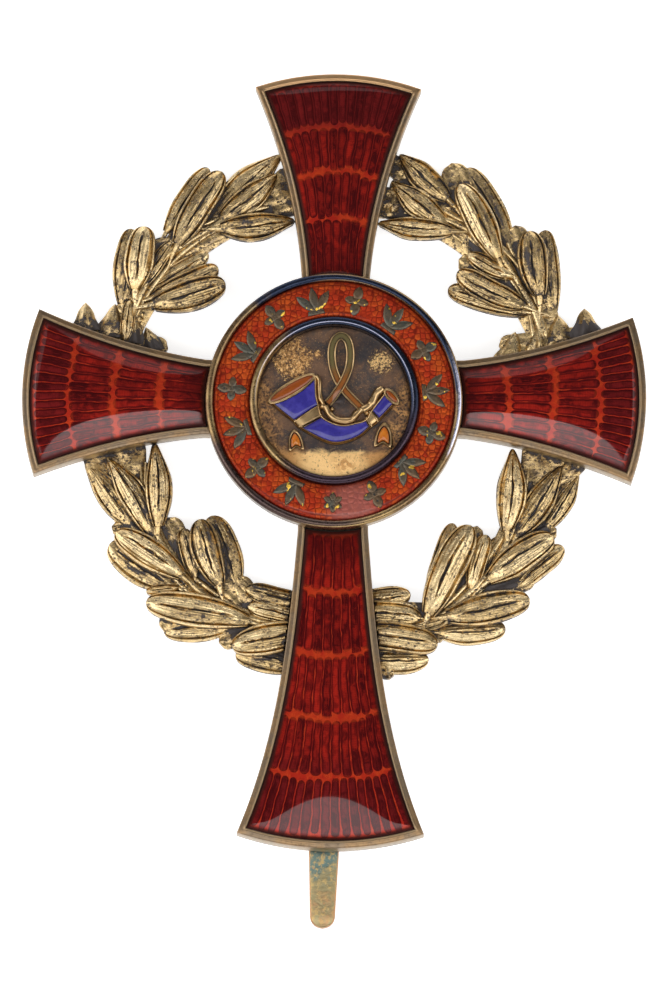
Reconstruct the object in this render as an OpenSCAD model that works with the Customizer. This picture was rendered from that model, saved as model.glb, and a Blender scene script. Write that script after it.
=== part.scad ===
// Pinned breast cross in gilt metal and enamel, lying face up on its pin.
// Millimetres. The origin is on the medallion's axis, in the plane of the pin's flat back.
// +Y runs to the top arm and +Z out of the face.

/* [Cross] */
// Medallion axis to the end of the top arm
top_reach = 26.6; // [25:0.1:30]
// Medallion axis to the end of a side arm
side_reach = 24.9; // [23:0.1:28]
// Medallion axis to the end of the lower arm
foot_reach = 35.5; // [33:0.1:40]
// Height of the right arm's axis above the medallion's axis
right_axis_y = 0.6; // [0:0.1:0.8]
// Height of the left arm's axis above the medallion's axis, at the medallion's axis
left_axis_y = 0.2; // [0:0.1:0.8]
// Rise of the left arm's axis towards its end, in degrees
left_arm_rise = 1.2; // [0:0.1:1.5]
// Height of the flat back of the arms above the surface
cross_back = 2.05; // [2:0.05:2.4]
// Thickness of the arms from back to rim
cross_thick = 2.5; // [2:0.05:2.8]
// Width of the metal rim round each enamel field
rim_w = 0.55; // [0.4:0.05:0.7]
// Depth of the sunk enamel fields
field_depth = 1; // [0.6:0.1:1.2]
// Rise of each enamel field above its rim, at its middle
field_proud = 0.4; // [0.2:0.05:0.5]

/* [Medallion] */
// Radius over the outer rim
medal_r = 10.26; // [10.1:0.02:10.6]
// Width of the outer rim
outer_rim_w = 0.62; // [0.5:0.02:0.8]
// Radius of the inner rim's outer edge
band_in_r = 6.76; // [6.6:0.02:6.9]
// Radius of the opening for the centre disc
opening_r = 6.1; // [6:0.02:6.2]
// Number of ornaments round the band, the rosette counted
ornament_count = 15; // [9:2:17]

/* [Wreath] */
// Middle radius of the flat band that the leaves stand on
stem_r = 18.1; // [17.6:0.1:18.6]
// Width of that band
stem_w = 2.4; // [2:0.1:3]
// Height of the wreath's back above the surface
wreath_back = 1.2; // [1:0.05:1.3]

/* [Pin] */
// Length of the blade that shows below the lower arm
blade_out = 6.2; // [4:0.1:8]
// Width of the blade where it leaves the lower arm
blade_w = 2.4; // [1.8:0.1:3]
// Thickness of the blade
blade_t = 0.8; // [0.6:0.05:0.9]
// Lean of the blade from the cross's axis, in degrees
blade_lean = 0.6; // [0:0.1:1.5]

/* [Hidden] */
$fn = 64;
gap = 0.03;
cross_top = cross_back + cross_thick;
field_floor = cross_top - field_depth;

// Arms: direction, reach, height of the axis, half width at the medallion, half width at the
// corners, widening per length at the medallion, power of the flare, radius of the convex end
TOP_ARM = [89.9, top_reach, 0, 2.72, 6.62, 0.075, 2, 20];
LEFT_ARM = [180 - left_arm_rise, side_reach, left_axis_y, 3.0, 6.65, 0.12, 2, 20];
RIGHT_ARM = [0, side_reach, right_axis_y, 3.0, 6.65, 0.12, 2, 20];
FOOT_ARM = [-89.8, foot_reach, 0, 2.8, 7.45, 0.08, 3, 23.8];
ARMS = [TOP_ARM, LEFT_ARM, RIGHT_ARM, FOOT_ARM];
arm_root = 10.3;
arm_start = 7;
side_steps = 12;
hub_r = 9.9;
field_seam = 0.1;
crown_rise = 0.3;
crown_steps = 8;

// Medallion heights
medal_seat = cross_top + gap;
band_floor = cross_top + 0.95;
band_top = band_floor + 0.5;
outer_rim_top = cross_top + 1.75;
inner_rim_top = cross_top + 1.88;
ornament_top = band_top + 0.08;
ornament_r = 8.2;
disc_top = medal_seat + 0.5;

// Horn heights
horn_base = disc_top + gap;
horn_top = horn_base + 0.6;
cell_floor = horn_base + 0.2;
cell_top = horn_top + 0.05;

// Horn, across the tube from its lower to its upper edge:
// lower x, lower y, upper x, upper y, from the bell's mouth to the mouthpiece
HORN = [
    [-5.1, -0.1, -1.7, 2.0],
    [-3.9, -0.7, -1.7, 0.6],
    [-3.0, -1.45, -1.2, -0.25],
    [-2.5, -2.1, -0.75, -0.95],
    [-0.75, -2.9, -0.2, -1.6],
    [0.3, -3.15, 0.7, -1.85],
    [1.85, -2.65, 1.65, -1.75],
    [2.85, -2.05, 2.5, -1.45],
    [3.5, -1.4, 3.1, -1.0],
    [4.7, -0.15, 4.1, 0.5]
];
// Looped cord from the bell's strap, round the loop and down to the neck's strap
CORD = [
    [-0.4, -0.1], [0.4, 1.05], [1.0, 2.1], [1.3, 3.2], [1.2, 4.3], [0.55, 5.1],
    [-0.1, 4.4], [-0.3, 3.2], [0.05, 2.0], [0.8, 1.05], [1.5, 0.3], [2.2, -0.5]
];
// Strap along the inside of the horn's curve
STRAP = [[-0.4, -0.1], [-0.3, -1.2], [0.5, -1.6], [1.3, -1.5], [1.75, -1.1], [2.2, -0.5]];
// Ridge along the inside of the neck
RIDGE = [[2.2, -0.5], [3.0, -0.1], [3.4, 0.6], [3.95, 1.05]];
cord_r = 0.24;
bell_mid = [-3.4, 0.98];
bell_half = [2.0, 0.4];
bell_turn = 31.8;
mouthpiece_mid = [4.62, 0.35];
mouthpiece_half = [0.68, 0.2];
mouthpiece_turn = -52.8;
lip_w = 0.2;
cell_edge = 0.1;

// Tassel outline, and its places as x, y, turn
TASSEL = [[0, 0.9], [0.5, 0.25], [0.6, -0.85], [0, -0.6], [-0.6, -0.85], [-0.5, 0.25]];
TASSEL_LEFT = [-3.05, -3.05, 8];
TASSEL_RIGHT = [3.95, -2.75, -4];
tassel_floor = horn_base + 0.12;
tassel_top = horn_base + 0.35;
tassel_cell = 0.62;
tassel_fill_share = 0.52;

// Leaf outline: how far along the leaf, share of its half width
LEAF = [
    [0, 0.36], [0.14, 0.66], [0.32, 0.9], [0.52, 1], [0.7, 0.94], [0.86, 0.7], [0.96, 0.36], [1, 0.1]
];
// Start and length of the foot under a leaf, and its width, as shares of the leaf's
LEAF_FOOT = [0.05, 0.85, 0.64];
leaf_edge = 0.45;
// Lift of a leaf's underside and of its crest, for a leaf behind, between and in front
LEAF_LIFT = [0.2, 0.45, 0.7];
LEAF_CREST = [0.75, 0.95, 1.15];
wreath_mid_y = -1;
stem_t = 0.7;
branch_parting = 0.2;

// Left branch: base x, base y, tip x, tip y, width, layer from 0 behind to 2 in front
LEFT_LEAVES = [
    [-17.0, 8.2, -16.4, 14.3, 2.0, 0],
    [-16.0, 9.3, -15.3, 14.4, 2.2, 2],
    [-15.8, 9.3, -13.1, 13.2, 1.2, 1],
    [-15.9, 8.9, -10.2, 12.4, 1.6, 0],
    [-14.6, 8.7, -9.4, 11.2, 1.8, 1],
    [-14.5, 8.1, -8.8, 9.9, 2.3, 2],
    [-13.6, 14.1, -10.3, 19.3, 1.5, 0],
    [-12.7, 13.0, -9.2, 18.9, 2.1, 2],
    [-10.2, 14.6, -4.5, 20.4, 2.6, 0],
    [-9.2, 15.1, -4.8, 18.8, 2.1, 1],
    [-9.2, 14.3, -3.3, 15.0, 2.1, 2],
    [-19.7, 4.6, -19.9, 8.1, 1.7, 0],
    [-18.0, 4.6, -17.6, 7.9, 1.7, 1],
    [-16.8, 5.1, -16.4, 8.5, 1.1, 1],
    [-15.9, 4.4, -15.9, 7.2, 1.3, 0],
    [-14.4, 4.0, -14.9, 6.3, 1.5, 0],
    [-13.9, -9.8, -14.3, -3.0, 2.0, 2],
    [-14.2, -10.5, -18.0, -4.3, 2.1, 1],
    [-16.0, -9.8, -19.8, -4.7, 2.0, 0],
    [-12.0, -13.7, -17.3, -10.3, 2.2, 2],
    [-12.5, -14.6, -17.8, -11.2, 2.6, 0],
    [-12.2, -14.7, -14.8, -15.0, 0.8, 1],
    [-10.9, -13.8, -11.9, -9.9, 1.4, 1],
    [-11.4, -13.9, -12.6, -9.8, 1.7, 0],
    [-9.0, -14.4, -10.7, -9.2, 2.2, 2],
    [-7.6, -14.5, -9.7, -8.8, 2.2, 0],
    [-6.6, -17.3, -14.8, -15.9, 2.4, 2],
    [-7.8, -17.5, -13.4, -18.0, 2.3, 0],
    [-2.8, -14.8, -6.6, -14.6, 1.4, 1],
    [-2.9, -16.6, -6.2, -16.0, 1.5, 1],
    [-3.0, -17.7, -7.7, -19.0, 1.9, 2],
    [-3.4, -20.9, -7.7, -19.6, 2.3, 0]
];
// Right branch, in the same columns
RIGHT_LEAVES = [
    [8.9, 17.0, 5.0, 20.5, 2.1, 1],
    [8.8, 14.8, 4.4, 18.3, 2.1, 1],
    [9.2, 14.3, 3.3, 14.9, 1.7, 2],
    [13.9, 13.3, 10.3, 19.5, 2.2, 0],
    [13.0, 12.2, 9.8, 18.1, 2.2, 2],
    [14.2, 10.7, 10.5, 12.5, 1.4, 1],
    [15.1, 8.3, 9.7, 11.0, 1.9, 2],
    [15.3, 7.9, 9.0, 9.7, 1.9, 1],
    [16.3, 9.2, 15.4, 14.4, 2.2, 2],
    [17.4, 8.1, 16.7, 14.6, 1.9, 0],
    [14.4, 4.0, 14.3, 6.3, 1.7, 0],
    [16.2, 4.3, 16.2, 7.1, 1.7, 0],
    [18.0, 4.4, 18.0, 7.5, 1.4, 1],
    [20.3, 5.1, 20.0, 8.1, 1.7, 0],
    [13.9, -9.8, 14.3, -3.2, 2.2, 2],
    [14.7, -10.1, 18.2, -4.5, 2.2, 1],
    [17.0, -9.5, 19.6, -5.1, 1.5, 0],
    [7.7, -16.6, 11.0, -9.4, 2.5, 2],
    [7.8, -15.8, 9.6, -9.2, 1.6, 1],
    [11.1, -14.5, 12.3, -10.1, 1.5, 1],
    [12.3, -14.2, 13.3, -10.2, 1.5, 0],
    [9.2, -16.8, 15.8, -15.3, 2.3, 2],
    [8.5, -18.0, 13.9, -17.6, 1.8, 0],
    [12.5, -13.8, 17.6, -10.2, 2.3, 2],
    [14.7, -14.3, 18.4, -10.9, 1.7, 0],
    [2.8, -14.9, 6.2, -14.9, 1.5, 0],
    [3.1, -16.4, 6.9, -16.7, 1.8, 1],
    [3.4, -18.5, 8.3, -19.1, 2.3, 2],
    [3.5, -20.6, 7.6, -20.4, 1.7, 0],
    [6.0, -17.8, 9.2, -16.9, 0.8, 1]
];

// Flat pads of the left branch between its leaves: x, y of both ends and width
LEFT_PADS = [
    [-7.8, 15.9, -3.4, 17.2, 2.5],
    [-14.3, 12.1, -9.3, 14.5, 2.0],
    [-16.2, 9.9, -13.8, 12.3, 2.7],
    [-19.3, 5.8, -14.1, 4.8, 1.6],
    [-17.9, 8.0, -15.9, 7.2, 1.6],
    [-16.4, -7.9, -16.5, -3.7, 3.1],
    [-18.6, -6.0, -19.2, -4.2, 1.6],
    [-13.7, -10.6, -17.1, -9.9, 1.1],
    [-10.8, -14.0, -12.8, -9.9, 2.0],
    [-5.2, -16.7, -8.8, -13.7, 2.3],
    [-5.4, -17.7, -8.2, -18.7, 1.6],
    [-13.9, -10.0, -10.4, -14.8, 2.0],
    [-6.4, -15.3, -7.1, -14.4, 1.6],
    [-12.6, -16.9, -12.9, -17.4, 1.7]
];
// Flat pads of the right branch, in the same columns
RIGHT_PADS = [
    [8.0, 16.4, 3.5, 16.7, 2.5],
    [7.1, 17.7, 4.5, 19.7, 1.7],
    [11.3, 13.2, 9.5, 18.8, 2.3],
    [14.1, 10.4, 10.6, 11.8, 1.7],
    [15.6, 10.0, 14.5, 14.1, 1.7],
    [16.7, 6.6, 15.7, 10.4, 2.8],
    [13.9, 5.3, 21.3, 6.3, 1.6],
    [9.6, 14.5, 11.4, 13.2, 1.3],
    [16.4, -7.0, 16.7, -3.3, 3.3],
    [17.9, -5.9, 19.5, -4.2, 1.5],
    [10.3, -14.8, 11.4, -10.0, 1.3],
    [4.8, -16.3, 8.0, -16.4, 1.6],
    [6.0, -17.9, 8.6, -18.3, 0.9],
    [13.2, -12.8, 14.6, -9.7, 2.5],
    [14.2, -11.3, 17.3, -9.8, 1.3],
    [9.1, -16.2, 15.4, -13.7, 1.6],
    [4.2, -20.2, 4.5, -21.2, 1.2]
];
pad_t = 0.85;

// Pin: the foot plate and the post that carry the blade, and the width of the blade's end
blade_top_y = 9;
foot_w = 7;
foot_len = 6;
post_w = 3.6;
post_len = 4;
tip_w = 2.0;

// Half width of an arm at a distance from the medallion's axis
function corner_r(arm) = arm[1] - (arm[7] - sqrt(arm[7] * arm[7] - arm[4] * arm[4]));
function half_width(arm, r) =
    let (run = corner_r(arm) - arm_root, s = max(r - arm_root, 0))
    arm[3] + arm[5] * s + (arm[4] - arm[3] - arm[5] * run) * pow(s / run, arm[6]);

// Points of one concave side, from the hub to just past the convex end
function side_points(arm, side, grow) = [
    for (i = [0:side_steps])
        let (r = arm_start + (arm[1] + 1 - arm_start) * i / side_steps)
        [r, side * (half_width(arm, r) + grow)]
];

// Turns and lifts a flat shape drawn along +X onto an arm's axis
module along(arm) {
    translate([0, arm[2]]) rotate(arm[0]) children();
}

// Outline of an arm drawn along +X, made wider all round by grow
module arm_outline(arm, grow) {
    lower = side_points(arm, -1, grow);
    upper = side_points(arm, 1, grow);
    intersection() {
        polygon(concat(lower, [for (i = [side_steps:-1:0]) upper[i]]));
        translate([arm[1] - arm[7], 0]) circle(r = arm[7] + grow, $fn = 128);
    }
}

// Outline of an enamel field in its place, inset from the arm's edge, stopped at the medallion
module field_outline(arm, inset) {
    difference() {
        along(arm) arm_outline(arm, -inset);
        circle(r = medal_r + field_seam + inset - rim_w, $fn = 128);
    }
}

module cross_frame() {
    color("goldenrod")
    difference() {
        translate([0, 0, cross_back]) linear_extrude(cross_thick) union() {
            circle(r = hub_r, $fn = 128);
            for (arm = ARMS) along(arm) arm_outline(arm, 0);
        }
        translate([0, 0, field_floor]) linear_extrude(field_depth + 1)
            for (arm = ARMS) field_outline(arm, rim_w);
    }
}

// Height of the domed top at a distance from its middle
function crown_z(crown_r, r) = cross_top + field_proud - crown_r + sqrt(crown_r * crown_r - r * r);

// Round dome over the middle of a field, wide enough to cover it
module crown_cap(crown_r, cap_r) {
    step = cap_r / crown_steps;
    rotate_extrude($fn = 128) polygon(concat(
        [[0, field_floor - 0.4], [cap_r, field_floor - 0.4]],
        [for (i = [crown_steps:-1:0]) [i * step, crown_z(crown_r, i * step)]]
    ));
}

// Enamel field with a domed top
module enamel_field(arm) {
    half_len = (arm[1] - medal_r) / 2;
    crown_r = (half_len * half_len + crown_rise * crown_rise) / (2 * crown_rise);
    intersection() {
        translate([0, 0, field_floor + gap]) linear_extrude(field_depth + field_proud)
            field_outline(arm, rim_w + gap);
        along(arm) translate([medal_r + half_len, 0]) crown_cap(crown_r, half_len + 2);
    }
}

module enamel_top() { color("firebrick") enamel_field(TOP_ARM); }
module enamel_left() { color("firebrick") enamel_field(LEFT_ARM); }
module enamel_right() { color("firebrick") enamel_field(RIGHT_ARM); }
module enamel_bottom() { color("firebrick") enamel_field(FOOT_ARM); }

// Pointed petal between two arcs, from the origin along +Y
module petal(len, w, grow) {
    arc_r = (len * len + w * w) / (4 * w);
    translate([0, len / 2]) intersection() {
        translate([arc_r - w / 2, 0]) circle(r = arc_r + grow);
        translate([w / 2 - arc_r, 0]) circle(r = arc_r + grow);
    }
}

// Three leaves over a foot bar
module palmette(grow) {
    for (turn = [-42, 0, 42]) translate([0, -0.85]) rotate(turn) petal(1.9, 0.55, grow);
    translate([0, -0.95]) square([1.1 + 2 * grow, 0.3 + 2 * grow], center = true);
}

// Four petals round a pearl
module quatrefoil(grow) {
    for (turn = [0, 180]) rotate(turn) petal(1.15, 0.62, grow);
    for (turn = [90, 270]) rotate(turn) petal(0.85, 0.5, grow);
    circle(r = 0.3 + grow);
}

// Small rosette of six petals
module rosette(grow) {
    for (turn = [0:60:300]) rotate(turn) petal(0.75, 0.4, grow);
    circle(r = 0.25 + grow);
}

// All ornaments in their places round the band, the rosette at the foot
module ornaments(grow) {
    for (i = [0:ornament_count - 1])
        rotate(i * 360 / ornament_count) translate([0, -ornament_r]) rotate(180)
            if (i == 0) rosette(grow);
            else if (i % 2 == 0) palmette(grow);
            else quatrefoil(grow);
}

// Rim section between two radii with a round top
module rim_section(r_in, r_out, top) {
    w = r_out - r_in;
    translate([r_in, medal_seat]) square([w, top - w / 2 - medal_seat]);
    translate([(r_in + r_out) / 2, top - w / 2]) circle(r = w / 2);
}

module medallion_ring() {
    color("darkgoldenrod") {
        rotate_extrude($fn = 128) union() {
            rim_section(medal_r - outer_rim_w, medal_r, outer_rim_top);
            rim_section(opening_r, band_in_r, inner_rim_top);
            translate([opening_r + 0.3, medal_seat])
                square([medal_r - opening_r - 0.6, band_floor - medal_seat]);
        }
        translate([0, 0, band_floor - 0.2]) linear_extrude(ornament_top - band_floor + 0.2)
            ornaments(0);
    }
}

module band_enamel() {
    color("orangered")
    translate([0, 0, band_floor + gap]) linear_extrude(band_top - band_floor - gap)
        difference() {
            circle(r = medal_r - outer_rim_w - gap, $fn = 128);
            circle(r = band_in_r + gap, $fn = 128);
            ornaments(gap);
        }
}

module centre_disc() {
    color("tan")
    translate([0, 0, medal_seat]) cylinder(r = opening_r - gap, h = disc_top - medal_seat);
}

// Point of the horn at section place s, and f of the way from its lower to its upper edge
function horn_point(s, f) =
    let (i = min(floor(s), len(HORN) - 2), t = s - i, a = HORN[i], b = HORN[i + 1])
    let (low = [a[0] + (b[0] - a[0]) * t, a[1] + (b[1] - a[1]) * t])
    let (high = [a[2] + (b[2] - a[2]) * t, a[3] + (b[3] - a[3]) * t])
    low + (high - low) * f;

// Stretch of the horn between two section places, between shares f0 and f1 of its width
function horn_stretch(s0, s1, f0, f1) =
    let (marks = concat([s0], [for (i = [ceil(s0 + 0.01):floor(s1 - 0.01)]) i], [s1]))
    concat(
        [for (s = marks) horn_point(s, f0)],
        [for (i = [len(marks) - 1:-1:0]) horn_point(marks[i], f1)]
    );

function ellipse_points(half, n) = [
    for (i = [0:n - 1]) [half[0] * cos(360 * i / n), half[1] * sin(360 * i / n)]
];

module ellipse(mid, half, turn, grow) {
    translate(mid) rotate(turn) polygon(ellipse_points(half + [grow, grow], 32));
}

// Band of even width with round joints along a path
module path_band(path, r) {
    for (i = [0:len(path) - 2]) {
        step = path[i + 1] - path[i];
        translate(path[i]) circle(r = r, $fn = 24);
        translate(path[i]) rotate(atan2(step[1], step[0])) translate([0, -r])
            square([norm(step), 2 * r]);
    }
    translate(path[len(path) - 1]) circle(r = r, $fn = 24);
}

// Enamel cells of the horn, made smaller all round by inset
module bell_cell(inset) {
    difference() {
        polygon(horn_stretch(0.1, 2 - inset, cell_edge + inset / 3, 1 - cell_edge - inset / 3));
        ellipse(bell_mid, bell_half, bell_turn, lip_w + inset);
    }
}
module belly_cell(inset) {
    polygon(horn_stretch(3 + inset, 7 - inset, cell_edge + inset, 1 - cell_edge - inset));
}
module neck_cell(inset) {
    polygon(horn_stretch(8 + inset, 8.85 - inset, 0.16 + inset, 0.84 - inset));
}
module bell_mouth_cell(inset) { ellipse(bell_mid, bell_half, bell_turn, -inset); }
module mouthpiece_cell(inset) { ellipse(mouthpiece_mid, mouthpiece_half, mouthpiece_turn, -inset); }

module horn() {
    color("gold")
    difference() {
        translate([0, 0, horn_base]) linear_extrude(horn_top - horn_base) union() {
            polygon(horn_stretch(0, len(HORN) - 1, 0, 1));
            ellipse(bell_mid, bell_half, bell_turn, lip_w);
            ellipse(mouthpiece_mid, mouthpiece_half, mouthpiece_turn, lip_w);
            path_band(CORD, cord_r);
            path_band(STRAP, cord_r);
            path_band(RIDGE, cord_r);
        }
        translate([0, 0, cell_floor]) linear_extrude(horn_top) {
            bell_cell(0);
            belly_cell(0);
            neck_cell(0);
            bell_mouth_cell(0);
            mouthpiece_cell(0);
        }
    }
}

// Slab of enamel that fills a cell from its floor to just above the metal
module cell_fill() {
    translate([0, 0, cell_floor + gap]) linear_extrude(cell_top - cell_floor - gap) children();
}

module bell_enamel() { color("mediumblue") cell_fill() bell_cell(gap); }
module belly_enamel() { color("mediumblue") cell_fill() belly_cell(gap); }
module neck_enamel() { color("mediumblue") cell_fill() neck_cell(gap); }
module bell_mouth_enamel() { color("darkorange") cell_fill() bell_mouth_cell(gap); }
module mouthpiece_enamel() { color("darkorange") cell_fill() mouthpiece_cell(gap); }

// Tassel plate with its enamel cell cut in, and the enamel that fills it
module tassel_outline(place, share) {
    translate([place[0], place[1]]) rotate(place[2]) scale(share) polygon(TASSEL);
}
module tassel_plate(place) {
    color("gold")
    difference() {
        translate([0, 0, horn_base]) linear_extrude(tassel_top - horn_base)
            tassel_outline(place, 1);
        translate([0, 0, tassel_floor]) linear_extrude(1) tassel_outline(place, tassel_cell);
    }
}
module tassel_fill(place) {
    color("darkorange")
    translate([0, 0, tassel_floor + gap]) linear_extrude(tassel_top - tassel_floor)
        tassel_outline(place, tassel_fill_share);
}
module tassel_left() { tassel_plate(TASSEL_LEFT); }
module tassel_right() { tassel_plate(TASSEL_RIGHT); }
module tassel_enamel_left() { tassel_fill(TASSEL_LEFT); }
module tassel_enamel_right() { tassel_fill(TASSEL_RIGHT); }

// Half of a leaf: a lobe between the edge and the middle groove, raised along its crest
module leaf_lobe(len, half_w, crest) {
    hull() {
        linear_extrude(leaf_edge)
            polygon(concat([[0, 0]], [for (p = LEAF) [p[0] * len, p[1] * half_w]], [[len, 0]]));
        linear_extrude(crest)
            polygon([
                [0.12 * len, 0.22 * half_w], [0.45 * len, 0.6 * half_w],
                [0.85 * len, 0.3 * half_w], [0.5 * len, 0.25 * half_w]
            ]);
    }
}

// One leaf from its base to its tip, at the height of its layer
module leaf(row) {
    step = [row[2] - row[0], row[3] - row[1]];
    crest = LEAF_CREST[row[5]];
    translate([row[0], row[1], wreath_back + LEAF_LIFT[row[5]]])
        rotate(atan2(step[1], step[0])) {
            leaf_lobe(norm(step), row[4] / 2, crest);
            mirror([0, 1, 0]) leaf_lobe(norm(step), row[4] / 2, crest);
        }
}

// Flat half band that the leaves of one side stand on, parted from the other by a small angle
module stem_band(side) {
    mid = side > 0 ? 0 : 180;
    translate([0, wreath_mid_y, wreath_back]) rotate(mid - 90 + branch_parting)
        rotate_extrude(angle = 180 - 2 * branch_parting, $fn = 96)
            translate([stem_r - stem_w / 2, 0]) square([stem_w, stem_t]);
}

// Flat oblong pad between two points
module pad(row) {
    step = [row[2] - row[0], row[3] - row[1]];
    translate([row[0], row[1], wreath_back]) rotate(atan2(step[1], step[0]))
        linear_extrude(pad_t) {
            translate([0, -row[4] / 2]) square([norm(step), row[4]]);
            for (x = [0, norm(step)]) translate([x, 0]) circle(r = row[4] / 2, $fn = 16);
        }
}

// Low pad that joins the underside of a leaf to the band
module leaf_foot(row) {
    step = [row[2] - row[0], row[3] - row[1]];
    translate([row[0], row[1], wreath_back]) rotate(atan2(step[1], step[0]))
        translate([LEAF_FOOT[0] * norm(step), -LEAF_FOOT[2] * row[4] / 2, 0])
            cube([LEAF_FOOT[1] * norm(step), LEAF_FOOT[2] * row[4], LEAF_LIFT[row[5]] + 0.1]);
}

// Branch of the wreath: its band, pads and leaves, cut where the arms lie over it
module branch(leaves, pads, side) {
    color("khaki")
    difference() {
        union() {
            stem_band(side);
            for (row = pads) pad(row);
            for (row = leaves) {
                leaf(row);
                leaf_foot(row);
            }
        }
        translate([0, 0, cross_back - 2 * gap]) linear_extrude(cross_thick)
            for (arm = ARMS) along(arm) arm_outline(arm, 2 * gap);
    }
}

module wreath_left() { branch(LEFT_LEAVES, LEFT_PADS, -1); }
module wreath_right() { branch(RIGHT_LEAVES, RIGHT_PADS, 1); }

// Flat blade with a round end, and the foot and post that carry it at the back of the hub
module pin() {
    tip_y = -foot_reach - blade_out;
    color("peru")
    rotate(-blade_lean) union() {
        linear_extrude(blade_t) union() {
            polygon([
                [-blade_w / 2, blade_top_y], [-blade_w / 2, -foot_reach],
                [-tip_w / 2, tip_y + tip_w / 2], [tip_w / 2, tip_y + tip_w / 2],
                [blade_w / 2, -foot_reach], [blade_w / 2, blade_top_y]
            ]);
            translate([0, tip_y + tip_w / 2]) circle(r = tip_w / 2);
            translate([-foot_w / 2, blade_top_y - foot_len]) square([foot_w, foot_len]);
        }
        translate([-post_w / 2, blade_top_y - (foot_len + post_len) / 2, 0])
            cube([post_w, post_len, cross_back - gap]);
    }
}

cross_frame();
enamel_top();
enamel_left();
enamel_right();
enamel_bottom();
medallion_ring();
band_enamel();
centre_disc();
horn();
bell_enamel();
belly_enamel();
neck_enamel();
bell_mouth_enamel();
mouthpiece_enamel();
tassel_left();
tassel_right();
tassel_enamel_left();
tassel_enamel_right();
wreath_left();
wreath_right();
pin();
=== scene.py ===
"""Looks of a pinned breast cross in gilt metal and enamel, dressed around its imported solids.

Sizes are in millimetres in the frame of the solids: the origin on the medallion's axis in the plane of the
pin's flat back, +Y to the top arm and +Z out of the face. Meshes are scaled to metres when they are made.
"""

import logging
import math
from collections.abc import Sequence
from dataclasses import dataclass
from enum import Enum

import bmesh
import bpy
import numpy as np
from mathutils import Matrix, Vector


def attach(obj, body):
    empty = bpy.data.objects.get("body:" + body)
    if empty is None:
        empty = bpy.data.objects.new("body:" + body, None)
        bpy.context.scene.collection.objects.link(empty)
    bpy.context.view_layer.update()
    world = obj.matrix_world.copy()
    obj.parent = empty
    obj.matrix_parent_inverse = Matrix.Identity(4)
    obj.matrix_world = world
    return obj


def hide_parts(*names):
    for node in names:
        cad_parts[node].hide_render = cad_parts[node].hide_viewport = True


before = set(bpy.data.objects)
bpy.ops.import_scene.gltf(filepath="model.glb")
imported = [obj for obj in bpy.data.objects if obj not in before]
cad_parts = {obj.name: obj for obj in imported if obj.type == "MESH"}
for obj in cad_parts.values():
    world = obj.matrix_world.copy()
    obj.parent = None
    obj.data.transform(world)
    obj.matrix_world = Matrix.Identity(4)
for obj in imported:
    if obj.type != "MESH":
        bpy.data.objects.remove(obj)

LOG = logging.getLogger("breast_cross")
MM = 0.001
BODY = "root"
FULL_TURN = 2 * math.pi
Triple = tuple[float, float, float]
Colour = Triple
Spot = tuple[float, float]
Row = tuple[float, ...]
Array = np.ndarray
Material = bpy.types.Material
Piece = bpy.types.Object


class Layer(Enum):
    """Where a laurel leaf lies in its branch: its lift above the back, and the height of its relief."""

    BEHIND = (0.2, 0.75)
    BETWEEN = (0.45, 0.95)
    FRONT = (0.7, 1.15)

    @property
    def lift(self) -> float:
        """Height of the leaf's underside above the wreath's back."""
        return self.value[0]

    @property
    def crest(self) -> float:
        """Height of the leaf's relief."""
        return self.value[1]


class Side(Enum):
    """Side of the cross seen from the front; the value is the sign of x."""

    LEFT = -1
    RIGHT = 1


@dataclass(frozen=True)
class Heights:
    """Heights above the surface under the cross that several pieces share."""

    wreath_back: float = 1.2
    cross_back: float = 2.05
    cross_top: float = 4.55
    field_floor: float = 3.55
    seat: float = 4.58
    band_floor: float = 5.5
    band_top: float = 6.0
    ornament_top: float = 6.08
    outer_rim: float = 6.3
    inner_rim: float = 6.43
    disc_top: float = 5.08
    horn_base: float = 5.11
    horn_top: float = 5.71


LEVEL = Heights()


def ease(x: Array | float, low: float, high: float) -> Array:
    """Rises smoothly from 0 at the low limit to 1 at the high one."""
    t = np.clip((np.asarray(x, float) - low) / (high - low), 0, 1)
    return t * t * (3 - 2 * t)


def smooth_path(points: Sequence[Sequence[float]], steps: int, closed: bool = False) -> Array:
    """Runs a smooth curve through points.

    Args:
        points: The points that the curve passes through, in any number of dimensions.
        steps: Pieces of the curve between two points.
        closed: Whether the curve returns to its start.

    Returns:
        The points of the curve; a closed one doesn't repeat its first point.
    """
    p = np.asarray(points, float)
    p = np.concatenate([p[-1:], p, p[:2]] if closed else [p[:1], p, p[-1:]])
    rows = []
    for a, b, c, d in zip(p, p[1:], p[2:], p[3:]):
        for k in range(steps):
            t = k / steps
            bend = (2 * a - 5 * b + 4 * c - d) * t**2 + (3 * b - a - 3 * c + d) * t**3
            rows.append(0.5 * (2 * b + (c - a) * t + bend))
    return np.array(rows if closed else [*rows, p[-1]])


def turned(points: Array, degrees: float, start: Spot = (0.0, 0.0)) -> Array:
    """Turns flat points anticlockwise about the origin, by degrees, and then adds the start."""
    c, s = math.cos(math.radians(degrees)), math.sin(math.radians(degrees))
    return np.asarray(points, float) @ np.array([[c, s], [-s, c]]) + np.asarray(start, float)


def heading(start: Spot, end: Spot) -> tuple[float, float]:
    """Length of the line between two flat points, and its direction in degrees."""
    dx, dy = end[0] - start[0], end[1] - start[1]
    return math.hypot(dx, dy), math.degrees(math.atan2(dy, dx))


def lifted(flat: Array, z: Array | float) -> Array:
    """Adds heights to flat points; z is one height, or one for each point."""
    high = np.broadcast_to(np.asarray(z, float)[..., None], (*flat.shape[:-1], 1))
    return np.concatenate([flat, high], axis=-1)


def pairs(x: Array, y: Array) -> Array:
    """Joins x and y values into flat points."""
    return np.stack(np.broadcast_arrays(x, y), -1)


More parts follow.
